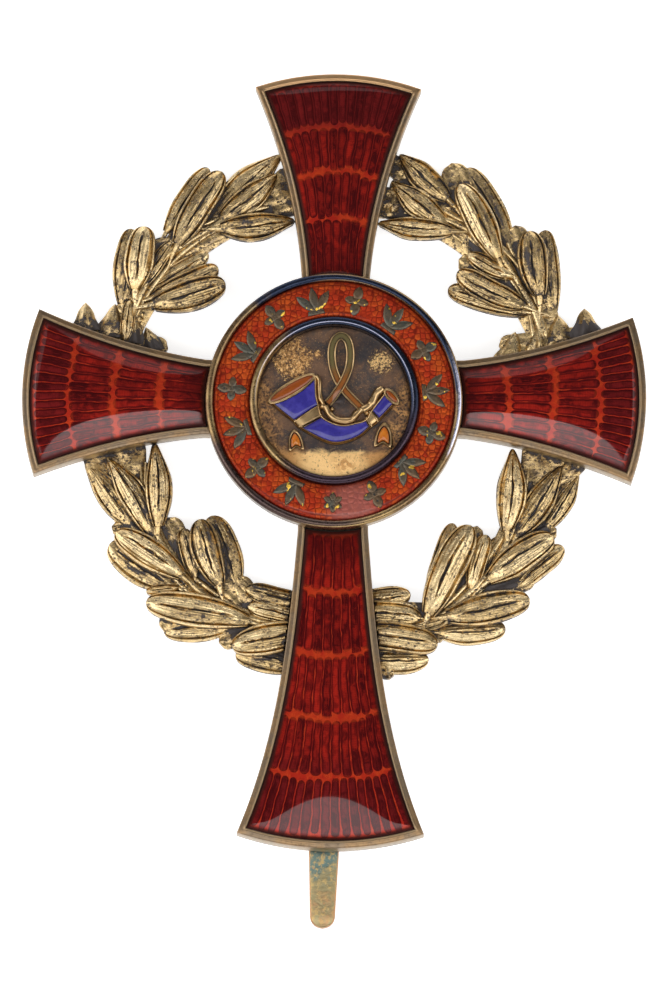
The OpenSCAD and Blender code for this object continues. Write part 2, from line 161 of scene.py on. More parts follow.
def circle(count: int) -> Array:
    """Points of a flat circle of radius 1, anticlockwise from +X."""
    angle = np.linspace(0, FULL_TURN, count, endpoint=False)
    return pairs(np.cos(angle), np.sin(angle))


def directions(path: Array) -> Array:
    """Unit directions along a path at each of its points."""
    ahead = np.gradient(path, axis=0)
    return ahead / np.linalg.norm(ahead, axis=1, keepdims=True)


class Shell:
    """Points and faces of one piece, gathered from parts and then made into a mesh.

    Each point carries a hollow value that darkens the finish: on metal 0 where it is worn bright and 1 where
    patina stays, on enamel the darker edges by the metal, and on the laurel also painted shade between the
    leaves and beside the arms. Its guide holds the place along and across the grain of the metal and the
    share of grime.
    """

    def __init__(self) -> None:
        """Starts an empty shell."""
        self.points: list[Array] = []
        self.hollow: list[Array] = []
        self.guide: list[Array] = []
        self.faces: list[list[int]] = []
        self.count = 0

    def add_points(self, points: Array, hollow: Array | float = 0.0, guide: Array | None = None) -> int:
        """Adds points.

        Args:
            points: Points whose last axis is x, y and z.
            hollow: One hollow value, or one for each point.
            guide: Guide of each point; its x and y and half grime if left out.

        Returns:
            The number of the first point added.
        """
        flat = points.reshape(-1, 3)
        self.points.append(flat)
        self.hollow.append(np.broadcast_to(np.asarray(hollow, float), points.shape[:-1]).reshape(-1))
        self.guide.append(lifted(flat[:, :2], 0.5) if guide is None else guide.reshape(-1, 3))
        self.count += len(flat)
        return self.count - len(flat)

    def loft(self, rings: Array, hollow: Array | float = 0.0, caps: bool = True, wrap: bool = False) -> None:
        """Joins closed rings of points into a skin.

        Args:
            rings: Rings, each with the same number of points.
            hollow: One hollow value, or one for each point.
            caps: Whether the first and last rings are closed with a face.
            wrap: Whether the last ring is joined to the first.
        """
        n, k = rings.shape[:2]
        start = self.add_points(rings, hollow)
        for i in range(n if wrap else n - 1):
            row, after = start + i * k, start + (i + 1) % n * k
            for j in range(k):
                m = (j + 1) % k
                self.faces.append([row + j, row + m, after + m, after + j])
        if caps:
            self.faces.append([start + j for j in reversed(range(k))])
            self.faces.append([start + (n - 1) * k + j for j in range(k)])

    def slab(
        self, top: Array, base_z: float, hollow: Array | float = 0,
        wall_hollow: float = 0.5, guide: Array | None = None,
    ) -> None:
        """Closes a relief surface with walls down to a flat back.

        Args:
            top: Grid of the surface's points.
            base_z: Height of the flat back.
            hollow: One hollow value, or one for each point of the surface.
            wall_hollow: Hollow value at the foot of the walls.
            guide: Guide of each point of the surface.
        """
        n, k = top.shape[:2]
        start = self.add_points(top, hollow, guide)
        for i in range(n - 1):
            for j in range(k - 1):
                a = start + i * k + j
                self.faces.append([a, a + 1, a + k + 1, a + k])
        near = [(0, j) for j in range(k - 1)] + [(i, k - 1) for i in range(n - 1)]
        rim = near + [(n - 1 - i, k - 1 - j) for i, j in near]
        foot = np.array([top[at] for at in rim])
        foot[:, 2] = base_z
        foot_guide = None if guide is None else np.array([guide[at] for at in rim])
        low = self.add_points(foot, wall_hollow, foot_guide)
        upper = [start + i * k + j for i, j in rim]
        for a in range(len(rim)):
            b = (a + 1) % len(rim)
            self.faces.append([upper[b], upper[a], low + a, low + b])
        self.faces.append([low + a for a in range(len(rim))])

    def boss(self, outline: Array, middle: Spot, steps: Sequence[Triple], base_z: float) -> None:
        """Raises a rounded boss over an outline.

        Args:
            outline: Flat outline, anticlockwise.
            middle: Flat point that the outline shrinks to.
            steps: Share of the outline, height and hollow value, from the outer edge inwards.
            base_z: Height of the flat back.
        """
        centre = np.asarray(middle, float)
        steps = [(steps[0][0], base_z, 0.6), *steps]
        rings = np.array([lifted(centre + (outline - centre) * share, z) for share, z, _ in steps])
        self.loft(rings, np.array([np.full(len(outline), value) for _, _, value in steps]))

    def tube(self, path: Array, section: Array, hollow: Sequence[float]) -> None:
        """Sweeps a section along a path that stays near a level plane.

        Args:
            path: Points of the path.
            section: Points of the section, as offsets to the path's left and upwards, anticlockwise.
            hollow: Hollow value of each point of the section.
        """
        ahead = directions(path[:, :2])
        left = pairs(-ahead[:, 1], ahead[:, 0])
        flat = path[:, None, :2] + left[:, None, :] * section[None, :, :1]
        rings = lifted(flat, path[:, None, 2] + section[None, :, 1])
        self.loft(rings, np.broadcast_to(np.asarray(hollow, float), rings.shape[:2]))

    def lathe(self, profile: Sequence[Triple], segments: int) -> None:
        """Turns a closed section about the medallion's axis.

        Args:
            profile: Radius, height and hollow value of each point of the section.
            segments: Steps round the axis.
        """
        r, z, value = (np.array(column) for column in zip(*profile))
        rings = lifted(circle(segments)[:, None] * r[:, None], z)
        self.loft(rings, np.broadcast_to(value, rings.shape[:2]), caps=False, wrap=True)

    def cable(self, path: Array, radius: Array | float, closed: bool = False, sides: int = 10) -> None:
        """Sweeps a round wire along a path.

        Args:
            path: Points of the path.
            radius: One radius, or one for each point.
            closed: Whether the wire returns to its start.
            sides: Sides of the wire.
        """
        size = np.broadcast_to(np.asarray(radius, float), (len(path),))
        ahead = directions(np.concatenate([path[-1:], path, path[:1]]))[1:-1] if closed else directions(path)
        left = np.cross([0, 0, 1], ahead)
        left /= np.linalg.norm(left, axis=1, keepdims=True)
        up = np.cross(ahead, left)
        spin = circle(sides)
        ring = spin[None, :, :1] * left[:, None] + spin[None, :, 1:] * up[:, None]
        rings = path[:, None] + ring * size[:, None, None]
        hollow = np.broadcast_to(0.75 * ease(spin[:, 1], 0.6, -0.5), rings.shape[:2])
        self.loft(rings, hollow, caps=not closed, wrap=closed)

    def knob(self, middle: Triple, size: float, height: float) -> None:
        """Adds a small rounded knot.

        Args:
            middle: Middle of its foot.
            size: Its radius.
            height: Its height.
        """
        rings, hollow = [], []
        for a in np.linspace(0, 1.45, 7):
            flat = circle(16) * size * math.cos(a) + middle[:2]
            rings.append(lifted(flat, middle[2] - 0.3 + (height + 0.02) * math.sin(a)))
            hollow.append(np.full(16, 0.7 * math.cos(a) ** 2))
        self.loft(np.array(rings), np.array(hollow))

    def make(self, name: str, finish: Material, slot: str, *nodes: str, sharp: float = 40.0) -> Piece:
        """Makes the mesh, and the piece that rides with the cross and stands for its solids.

        Args:
            name: The piece's name.
            finish: Its finish.
            slot: The record's material slot; not used.
            nodes: The solids that the piece stands for.
            sharp: Angle in degrees above which an edge stays crisp.

        Returns:
            The new piece, in metres.
        """
        mesh = bpy.data.meshes.new(name)
        mesh.from_pydata((np.concatenate(self.points) * MM).tolist(), [], self.faces)
        values = mesh.attributes.new("hollow", "FLOAT", "POINT")
        values.data.foreach_set("value", np.concatenate(self.hollow).astype(np.float32))
        guide = mesh.attributes.new("guide", "FLOAT_VECTOR", "POINT")
        guide.data.foreach_set("vector", np.concatenate(self.guide).astype(np.float32).ravel())
        mesh.validate(clean_customdata=False)
        mesh.polygons.foreach_set("use_smooth", np.ones(len(mesh.polygons), bool))
        mesh.set_sharp_from_angle(angle=math.radians(sharp))
        mesh.materials.append(finish)
        mesh.update()
        outward = bmesh.new()
        outward.from_mesh(mesh)
        bmesh.ops.recalc_face_normals(outward, faces=outward.faces)
        outward.to_mesh(mesh)
        outward.free()
        piece = bpy.data.objects.new(name, mesh)
        bpy.context.scene.collection.objects.link(piece)
        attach(piece, BODY)
        if nodes:
            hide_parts(*nodes)
        LOG.info("%s: %d faces", name, len(mesh.polygons))
        return piece


class Value:
    """Output of one node of a finish; sums of values add the nodes that work them out."""

    def __init__(self, sheet: "Sheet", socket: bpy.types.NodeSocket) -> None:
        """Holds an output of a sheet."""
        self.sheet, self.socket = sheet, socket

    def __add__(self, other: object) -> "Value":
        """The sum of two values."""
        return self.sheet.sum("ADD", self, other)

    def __sub__(self, other: object) -> "Value":
        """The difference of two values."""
        return self.sheet.sum("SUBTRACT", self, other)

    def __rsub__(self, other: float) -> "Value":
        """A number less this value."""
        return self.sheet.sum("SUBTRACT", other, self)

    def __mul__(self, other: object) -> "Value":
        """The product of two values."""
        return self.sheet.sum("MULTIPLY", self, other)

    def __abs__(self) -> "Value":
        """The value without its sign."""
        return self.sheet.sum("ABSOLUTE", self)

    def root(self) -> "Value":
        """The square root."""
        return self.sheet.sum("SQRT", self)

    def most(self, other: object) -> "Value":
        """The larger of two values."""
        return self.sheet.sum("MAXIMUM", self, other)

    def held(self) -> "Value":
        """The value held between 0 and 1."""
        return self.sheet.node("Clamp", {0: self})

    def step(self, low: object, high: object, to_low: object = 0.0, to_high: object = 1.0) -> "Value":
        """Eases the value between two limits, from the first level at low to the second at high."""
        values = {0: self, 1: low, 2: high, 3: to_low, 4: to_high}
        return self.sheet.node("MapRange", values, interpolation_type="SMOOTHSTEP")


class Sheet:
    """Node tree of one finish, with short calls for the nodes that the finishes share."""

    def __init__(self, name: str) -> None:
        """Starts a material of the given name with its plain shader."""
        self.material = bpy.data.materials.new(name)
        self.material.use_nodes = True
        self.tree = self.material.node_tree
        self.place = self.scaled(self.node("TexCoord", {}, "Object"), (1 / MM, 1 / MM, 1 / MM))
        self.x, self.y, self.z = self.parts(self.place)

    def put(self, socket: bpy.types.NodeSocket, value: object) -> None:
        """Wires or sets one input.

        Args:
            socket: The input.
            value: A value to wire to it, a number, a vector or a colour.
        """
        if isinstance(value, Value):
            self.tree.links.new(value.socket, socket)
        else:
            socket.default_value = (*value, 1) if socket.type == "RGBA" else value

    def node(
        self, kind: str, inputs: dict[str | int, object], output: str | int = 0, **settings: object
    ) -> Value:
        """Adds a node.

        Args:
            kind: The end of the node's type, after ShaderNode.
            inputs: Its inputs, by name or number.
            output: The output that is wanted.
            settings: Its own settings.

        Returns:
            The wanted output.
        """
        new = self.tree.nodes.new("ShaderNode" + kind)
        for key, value in settings.items():
            setattr(new, key, value)
        for key, value in inputs.items():
            self.put(new.inputs[key], value)
        return Value(self, new.outputs[output])

    def sum(self, operation: str, *values: object) -> Value:
        """Adds a sum of one or two values, by Blender's name for it."""
        return self.node("Math", dict(enumerate(values)), operation=operation)

    def scaled(self, vector: Value, size: Triple) -> Value:
        """Scales a vector."""
        return self.node("VectorMath", {0: vector, 1: size}, operation="MULTIPLY")

    def parts(self, vector: Value) -> list[Value]:
        """Splits a vector into its x, y and z."""
        first = self.node("SeparateXYZ", {0: vector})
        return [Value(self, socket) for socket in first.socket.node.outputs]

    def joined(self, x: Value, y: Value, z: Value) -> Value:
        """Joins three values into a vector."""
        return self.node("CombineXYZ", {0: x, 1: y, 2: z})

    def data(self, name: str, output: str = "Fac") -> Value:
        """Reads a value kept on the mesh."""
        return self.node("Attribute", {}, output, attribute_name=name)

    def radius(self) -> Value:
        """Distance from the medallion's axis."""
        return (self.x * self.x + self.y * self.y).root()

    def blend(self, share: object, first: object, second: object) -> Value:
        """Mixes two colours; the share is the second one's."""
        return self.node("Mix", {0: share, 6: first, 7: second}, 2, data_type="RGBA")

    def clouds(
        self, size: float, detail: float = 3.0, rough: float = 0.5,
        warp: float = 0.0, vector: Value | None = None,
    ) -> Value:
        """Adds cloudy noise of about 0.5; its size and the place where it is read are in millimetres."""
        values = {"Scale": 1 / size, "Detail": detail, "Roughness": rough, "Distortion": warp}
        return self.node("TexNoise", {"Vector": vector or self.place, **values})

    def cells(
        self, size: float, vector: Value | None = None, output: str = "Distance",
        feature: str = "F1", uneven: float = 1.0,
    ) -> Value:
        """Adds a pattern of cells of a size in millimetres, and gives Blender's named measure of it."""
        values = {"Vector": vector or self.place, "Scale": 1 / size, "Randomness": uneven}
        return self.node("TexVoronoi", values, output, feature=feature)

    def near(self, middle: Spot, reach: float, soft: float) -> Value:
        """Marks a round patch seen from above.

        Args:
            middle: The patch's x and y.
            reach: Its radius.
            soft: Width over which it fades.

        Returns:
            A value of 1 in the patch and 0 outside it.
        """
        inputs = {0: self.scaled(self.place, (1, 1, 0)), 1: (*middle, 0)}
        gap = self.node("VectorMath", inputs, "Value", operation="DISTANCE")
        return gap.step(reach + soft, reach - soft)

    def relief(self, height: Value, depth: float, strength: float = 1.0) -> Value:
        """Turns a height of 0 to 1 into the normal of a relief with a depth in millimetres."""
        return self.node("Bump", {"Height": height, "Distance": depth * MM, "Strength": strength})

    def finish(self, **inputs: object) -> Material:
        """Wires the shader.

        Args:
            inputs: Values for the shader's inputs; an underscore stands for a space.

        Returns:
            The finished material.
        """
        shader = self.tree.nodes["Principled BSDF"]
        for key, value in inputs.items():
            self.put(shader.inputs[key.replace("_", " ")], value)
        return self.material


@dataclass(frozen=True)
class GiltFinish:
    """Old gilding: bright where worn, dark where patina stays in the hollows."""

    name: str
    bright: Colour
    warm: Colour
    patina: Colour
    rough: float = 0.28
    patch: float = 2.2
    pit: float = 0.32
    pitting: float = 0.3
    wear_low: float = 0.42
    wear_high: float = 0.62
    relief_depth: float = 0.03
    unrest: float = 1.0
    fleck: Colour | None = None

    def material(self) -> Material:
        """Makes the gilding's material.

        Returns:
            The material.
        """
        s = Sheet(self.name)
        drift = s.clouds(self.patch, 4, 0.6)
        fine = s.clouds(self.pit, 4, 0.65)
        spots = s.clouds(self.pit * 2.6, 3, 0.6, 0.4)
        hollow = s.data("hollow")
        spread = (spots - 0.5) * (1.7 * self.unrest) + hollow
        grime = (fine - 0.5) * (1.2 * self.unrest) + spread
        dark = grime.step(self.wear_low, self.wear_high)
        pits = s.clouds(self.pit * 0.8, 2, 0.5).step(0.6, 0.66, 0, self.pitting)
        dark = dark.most(pits)
        metal = s.blend(drift.step(0.35, 0.65), self.bright, self.warm)
        metal = s.blend(fine.step(0.35, 0.7, 0, 0.25), metal, self.warm)
        colour = s.blend(dark, metal, self.patina)
        if self.fleck is not None:
            colour = s.blend(s.clouds(0.55, 2, 0.5).step(0.635, 0.67), colour, self.fleck)
        rough = fine.step(0.3, 0.7, self.rough - 0.06 * self.unrest, self.rough + 0.1 * self.unrest)
        return s.finish(
            Base_Color=colour, Metallic=1 - dark * 0.45, Roughness=dark * 0.3 + rough,
            Normal=s.relief((fine - dark) * 0.5, self.relief_depth),
        )


@dataclass(frozen=True)
class LaurelGilding:
    """Pale gilding of the cast leaves: cream ridges, pits, and blue-black patina and painted shade in the
    valleys.
    """

    name: str
    cream: Colour = (0.83, 0.635, 0.35)
    gold: Colour = (0.67, 0.475, 0.222)
    olive: Colour = (0.45, 0.315, 0.148)
    brown: Colour = (0.235, 0.17, 0.11)
    patina: Colour = (0.078, 0.067, 0.066)

    def material(self) -> Material:
        """Makes the gilding's material.

        Returns:
            The material.
        """
        s = Sheet(self.name)
        guide = s.data("guide", "Vector")
        _, _, grime = s.parts(guide)
        hollow = s.data("hollow")
        grain = s.scaled(guide, (0.6, 1.1, 6))
        broad = s.clouds(2.2, 3, 0.55)
        streak = s.clouds(0.62, 5, 0.68, 0.5, grain)
        fine = s.clouds(0.16, 4, 0.7)
        metal = s.blend(streak.step(0.4, 0.6), self.gold, self.olive)
        rub = (broad - 0.5) * 1.2 + 0.6 - grime * 0.5
        metal = s.blend(rub.step(0.15, 0.5) * hollow.step(0.25, -0.02), metal, self.cream)
        metal = s.blend(fine.step(0.5, 0.68, 0, 0.5), metal, self.olive)
        metal = s.blend(s.clouds(0.5, 3, 0.6, 0.8).step(0.58, 0.7, 0, 0.7), metal, self.brown)
        spread = hollow + (streak - 0.5) * 1.9 + (fine - 0.5) * 0.9 + (grime - 0.5) * 0.42
        metal = s.blend(spread.step(0.22, 0.44, 0, 0.65), metal, self.brown)
        dark = spread.step(0.45, 0.56)
        cell = s.cells(0.3, s.scaled(guide, (0.75, 1, 9)))
        where = grime * 0.22 + s.clouds(0.9, 3)
        pits = cell.step(0.34, 0.16) * where.step(0.44, 0.6)
        specks = s.clouds(0.24, 3, 0.7, 0.6).step(0.54, 0.6) * where.step(0.44, 0.62, 0, 0.8)
        metal = s.blend(specks, metal, self.brown)
        dark = dark.most(pits * 0.8)
        height = fine * 0.3 + streak * 0.3 - dark * 0.9
        return s.finish(
            Base_Color=s.blend(dark, metal, self.patina), Metallic=1 - dark * 0.45,
            Roughness=dark * 0.25 + fine.step(0.3, 0.7, 0.24, 0.4), Normal=s.relief(height, 0.065),
        )


@dataclass(frozen=True)
class ArmGilding:
    """Antique gilding of the arms' rims and walls."""

    name: str
    bright: Colour = (0.285, 0.2, 0.115)
    # Colour of the painted light on the top arm's end.
    end: Colour = (0.66, 0.4, 0.2)
    plain: Colour = (0.28, 0.18, 0.095)
    grey: Colour = (0.22, 0.16, 0.105)
    patina: Colour = (0.045, 0.036, 0.032)
    wall: Colour = (0.3, 0.21, 0.105)

    def material(self) -> Material:
        """Makes the gilding's material.

        Returns:
            The material.
        """
        s = Sheet(self.name)
        drift = s.clouds(2.4, 4, 0.6)
        fine = s.clouds(0.3, 3, 0.6)
        streak = s.clouds(0.8, 4, 0.7, 1)
        hollow = s.data("hollow")
        metal = s.blend(drift.step(0.4, 0.6), self.plain, self.grey)
        metal = s.blend(fine.step(0.5, 0.7, 0, 0.32), metal, self.patina)
        metal = s.blend(hollow.step(0.16, 0.02), metal, self.bright)
        # Painted light: the top arm's end is painted lighter and more orange than the other rims.
        metal = s.blend((s.y + (drift - 0.5) * 1.5).step(24.6, 25.8, 0, 0.75), metal, self.end)
        wall = s.blend(streak.step(0.42, 0.7, 0, 0.7), self.wall, self.grey)
        # The walls darken towards their foot at the cross's back.
        wall = s.blend((s.z + (drift - 0.5) * 2.5).step(2.5, 2.05, 0, 0.7), wall, self.patina)
        bare = s.z + (streak - 0.5) * 0.5
        metal = s.blend(bare.step(4.2, 3.9), metal, wall)
        grime = (streak - 0.5) * 0.8 + hollow
        dark = grime.step(0.46, 0.66)
        return s.finish(
            Base_Color=s.blend(dark, metal, self.patina), Metallic=1 - dark * 0.4,
            Roughness=dark * 0.2 + fine.step(0.3, 0.7, 0.28, 0.42), Normal=s.relief(fine + streak, 0.01),
        )


@dataclass(frozen=True)
class RingGilding:
    """Gilding of the medallion's rims: brown gold at the left, blue-black and violet elsewhere, with painted
    highlight lines on their crests.
    """

    name: str
    gold: Colour = (0.36, 0.245, 0.11)
    brown: Colour = (0.2, 0.125, 0.065)
    navy: Colour = (0.026, 0.034, 0.06)
    violet: Colour = (0.05, 0.034, 0.045)
    # Colour of the painted highlight lines on the rims' crests.
    pale: Colour = (0.8, 0.8, 1.00)
    patina: Colour = (0.018, 0.015, 0.018)

    def material(self) -> Material:
        """Makes the gilding's material.

        Returns:
            The material.
        """
        s = Sheet(self.name)
        drift = s.clouds(2.6, 4, 0.6) - 0.5
        fine = s.clouds(0.3, 3, 0.6)
        x, y = s.x, s.y
        far = s.radius()
        metal = s.blend((drift + 0.5).step(0.38, 0.64), self.gold, self.brown)
        outer = far.step(8, 8.4)
        turn = drift * 5 + x * 0.35 + y * 0.75
        strip = abs(far - 9.93).step(x.step(0, -4, 0.27, 0.44), x.step(0, -4, 0.13, 0.26))
        top_film = turn.step(2.2, 4.6)
        low_film = (y + drift).step(-2.5, -4) * (drift * 4 + x).step(3.5, 0.5)
        outer_film = strip * top_film.most(low_film * 0.85)
        inner_film = (drift * 3 + x).step(-5, -2.4)
        film = s.blend(y.step(0.5, -3), self.navy, self.violet)
        share = (outer * outer_film + (1 - outer) * inner_film).held()
        metal = s.blend(share, metal, film)
        # Painted highlights: a pale line along the outer rim's crest at the right, and a fainter one on the
        # inner rim's crest towards the top.
        line = abs(far - 10.02).step(0.14, 0.05) * (drift * 1.4 + x).step(9, 9.7)
        inner_rim_highlight = abs(far - 6.33).step(0.05, 0.01) * (drift * 5 + y).step(-1.5, 2)
        metal = s.blend(line.most(inner_rim_highlight * 0.3), metal, self.pale)
        dark = (drift * 0.5 + s.data("hollow")).step(0.42, 0.62)
        return s.finish(
            Base_Color=s.blend(dark, metal, self.patina), Metallic=1 - dark * 0.4,
            Roughness=fine.step(0.3, 0.7, 0.24, 0.36), Normal=s.relief(fine, 0.01),
        )


@dataclass(frozen=True)
class RodEnamel:
    """Clear red enamel over a ground engraved with rows of round-ended rods."""

    name: str
    rod: Colour = (0.34, 0.015, 0.0085)
    deep: Colour = (0.05, 0.0028, 0.0036)
    line: Colour = (0.47, 0.044, 0.011)
    outer_rod: Colour = (0.17, 0.01, 0.01)
    # Colour of the painted shade along the rims.
    edge: Colour = (0.04, 0.01, 0.008)
    relief_depth: float = 0.05

    def material(self) -> Material:
        """Makes the enamel's material.

        Returns:
            The material.
        """
        s = Sheet(self.name)
        across, along, row = s.parts(s.data("rods", "Vector"))
        aspect, edge, reach = s.parts(s.data("row", "Vector"))
        wobble = s.clouds(2.4, 2, 0.5) - 0.5
        fine_wobble = s.clouds(0.45, 2) - 0.5
        shifted = across + wobble * 0.5 + fine_wobble * 0.13
        key = s.joined(s.sum("FLOOR", shifted), row, 0)
        noise = s.node("TexWhiteNoise", {0: key}, "Color", noise_dimensions="3D")
        chance, other, third = s.parts(noise)
        x = s.sum("FRACT", shifted) - 0.5
        bent = (other - 0.5) * 0.14 + x
        mid = (other - 0.5) * 0.07 + along - 0.5
        y = abs(mid * aspect)
        straight = aspect * 0.5 - (third * 0.32 + 0.44)
        past = (y - straight).most(0)
        gap = (x * x + past * past).root()
        flare = reach.step(0.93, 1, 0, 0.16) * along.step(0.7, 1)
        width = chance * 0.07 + 0.4 - flare
        inside = (gap - width).step(0.05, -0.03)
        strand = s.joined(shifted * 1.6, along * 0.55, row)
        stripes = s.clouds(0.16, 3, 0.65, 0, strand)
        patches = s.clouds(0.9, 3, 0.6, 0.5)
        chatter = s.sum("SINE", along * aspect * 24)
        # Painted shading: each rod is bright along its middle and dark at its sides and ends, like a lit
        # rounded rod, with its strength varied from rod to rod.
        core = abs(bent).step(0.42, 0.16) * past.step(0.3, 0)
        glow = third * 0.72 + patches.step(0.36, 0.64, -0.24, 0.42)
        core = (core * glow * chatter.step(-1, 1, 0.86, 1)).held()
        outer = reach.step(0.7, 0.8)
        bright = s.blend(outer, self.rod, self.outer_rod)
        rod = s.blend(core, self.deep, bright)
        rod = s.blend(stripes.step(0.5, 0.68, 0, 0.5), rod, bright)
        rod = s.blend(stripes.step(0.42, 0.28, 0, 0.5), rod, self.deep)
        ground = s.blend(s.clouds(0.8, 3, 0.6, 0.5).step(0.38, 0.66, 0.1, 1), self.rod, self.line)
        ground = s.blend(stripes.step(0.56, 0.4, 0, 0.6), ground, self.rod)
        upper = s.y.step(14, 15)
        ground = s.blend(outer * upper * 0.8, ground, self.outer_rod)
        near_gap = (fine_wobble * 0.25 + past).step(-0.02, 0.2)
        open_line = (outer * 0.8).most(s.clouds(1.5, 2).step(0.44, 0.58, 0, 0.9))
        near_gap = near_gap.most(open_line * (1 - upper * 0.75))
        ground = s.blend(near_gap, s.blend(0.35, self.deep, bright), ground)
        outline = abs(gap - (width - 0.055)).step(0.11, 0.02, 0, 0.6)
        colour = s.blend(inside, ground, rod)
        smear = s.clouds(1.1, 3, 0.6, 0.4).step(0.36, 0.6)
        colour = s.blend(outline * smear.step(0, 1, 1, 0.35), colour, self.deep)
        fringe = past.step(0.02, 0.3) * smear
        colour = s.blend(fringe * (0.55 - outer * 0.4), colour, self.line)
        root = reach.step(0.16, 0.04, 0, 0.6)
        colour = s.blend(root, colour, self.deep)
        # Painted shade: the enamel darkens along the field's edge next to the rims.
        rim = fine_wobble * 0.16 + edge
        colour = s.blend(rim.step(0.4, 0.1), colour, self.edge)
        dome = (1 - gap * gap * 4.7259).most(0).root()
        return s.finish(
            Base_Color=colour, Metallic=0.5, Roughness=0.42, Specular_IOR_Level=0,
            Normal=s.relief(dome * inside, self.relief_depth, 0.7),
            Coat_Weight=edge.step(0.15, 0.55, 0.05, 1) * s.y.step(-1.5, -4.5, 1, 0.68),
            Coat_Roughness=0.03, Coat_IOR=1.55,
        )


@dataclass(frozen=True)
class BandEnamel:
    """Clear orange-red enamel over a ground engraved with small overlapping scales."""

    name: str
    bright: Colour = (0.5, 0.078, 0.014)
    body: Colour = (0.39, 0.034, 0.011)
    deep: Colour = (0.12, 0.01, 0.006)
    # Colour of the painted reflection near the band's foot.
    painted_reflection: Colour = (0.33, 0.11, 0.09)
    scale: float = 0.43
    uneven: float = 0.55

    def material(self) -> Material:
        """Makes the enamel's material.

        Returns:
            The material.
        """
        s = Sheet(self.name)
        drift = s.clouds(1.5, 3, 0.6)
        far = s.radius()
        flat = s.scaled(s.place, (1, 1, 0))
        border = s.cells(self.scale, flat, feature="DISTANCE_TO_EDGE", uneven=self.uneven)
        chance, _, _ = s.parts(s.cells(self.scale, flat, "Color", uneven=self.uneven))
        seam = border.step(0.15, 0.03) * s.clouds(0.7, 2).step(0.3, 0.5, 0.3, 1)
        lit = (chance - 0.5) * 0.5 + (drift - 0.5) * 2.4 + 0.5
        colour = s.blend(lit.step(0.25, 0.9), self.body, self.bright)
        inner = far.step(7.7, 7.1) * s.clouds(2, 2).step(0.4, 0.6)
        colour = s.blend(inner * 0.8, colour, self.bright)
        colour = s.blend(seam * 0.75, colour, self.deep)
        for ring_line in (7.12, 9.28):
            line = abs(far - ring_line).step(0.09, 0.03, 0, 0.7)
            colour = s.blend(line * drift.step(0.3, 0.55, 0.4, 1), colour, self.deep)
        # Painted reflection: a mauve patch on the domed enamel near the band's foot.
        colour = s.blend(s.near((1.6, -8.3), 1.9, 0.9) * 0.8, colour, self.painted_reflection)
        colour = s.blend(s.data("hollow"), colour, self.deep)
        return s.finish(
            Base_Color=colour, Metallic=0.4, Roughness=0.4, Specular_IOR_Level=0,
            Normal=s.relief(border.step(0, 0.4), 0.035, 0.8),
            Coat_Weight=abs(far - 8.2).step(1.12, 0.85, 0.1, 1), Coat_Roughness=0.05, Coat_IOR=1.5,
        )


@dataclass(frozen=True)
class SolidEnamel:
    """Dense glossy enamel with a faint cloud in it."""

    name: str
    body: Colour
    pale: Colour
    deep: Colour
    loop: Colour | None = None

    def material(self) -> Material:
        """Makes the enamel's material.

        Returns:
            The material.
        """
        s = Sheet(self.name)
        drift = s.clouds(0.9, 3, 0.6)
        fine = s.clouds(0.2, 3, 0.6)
        colour = s.blend(drift.step(0.4, 0.7, 0, 0.6), self.body, self.pale)
        if self.loop is not None:
            colour = s.blend((s.y + drift * 1.4).step(2, 4.2), colour, self.loop)
        colour = s.blend(fine.step(0.55, 0.75, 0, 0.5), colour, self.deep)
        colour = s.blend(s.data("hollow"), colour, self.deep)
        return s.finish(
            Base_Color=colour, Roughness=0.4, Specular_IOR_Level=0.15, Normal=s.relief(drift, 0.02, 0.6),
            Coat_Weight=1, Coat_Roughness=0.05, Coat_IOR=1.45,
        )


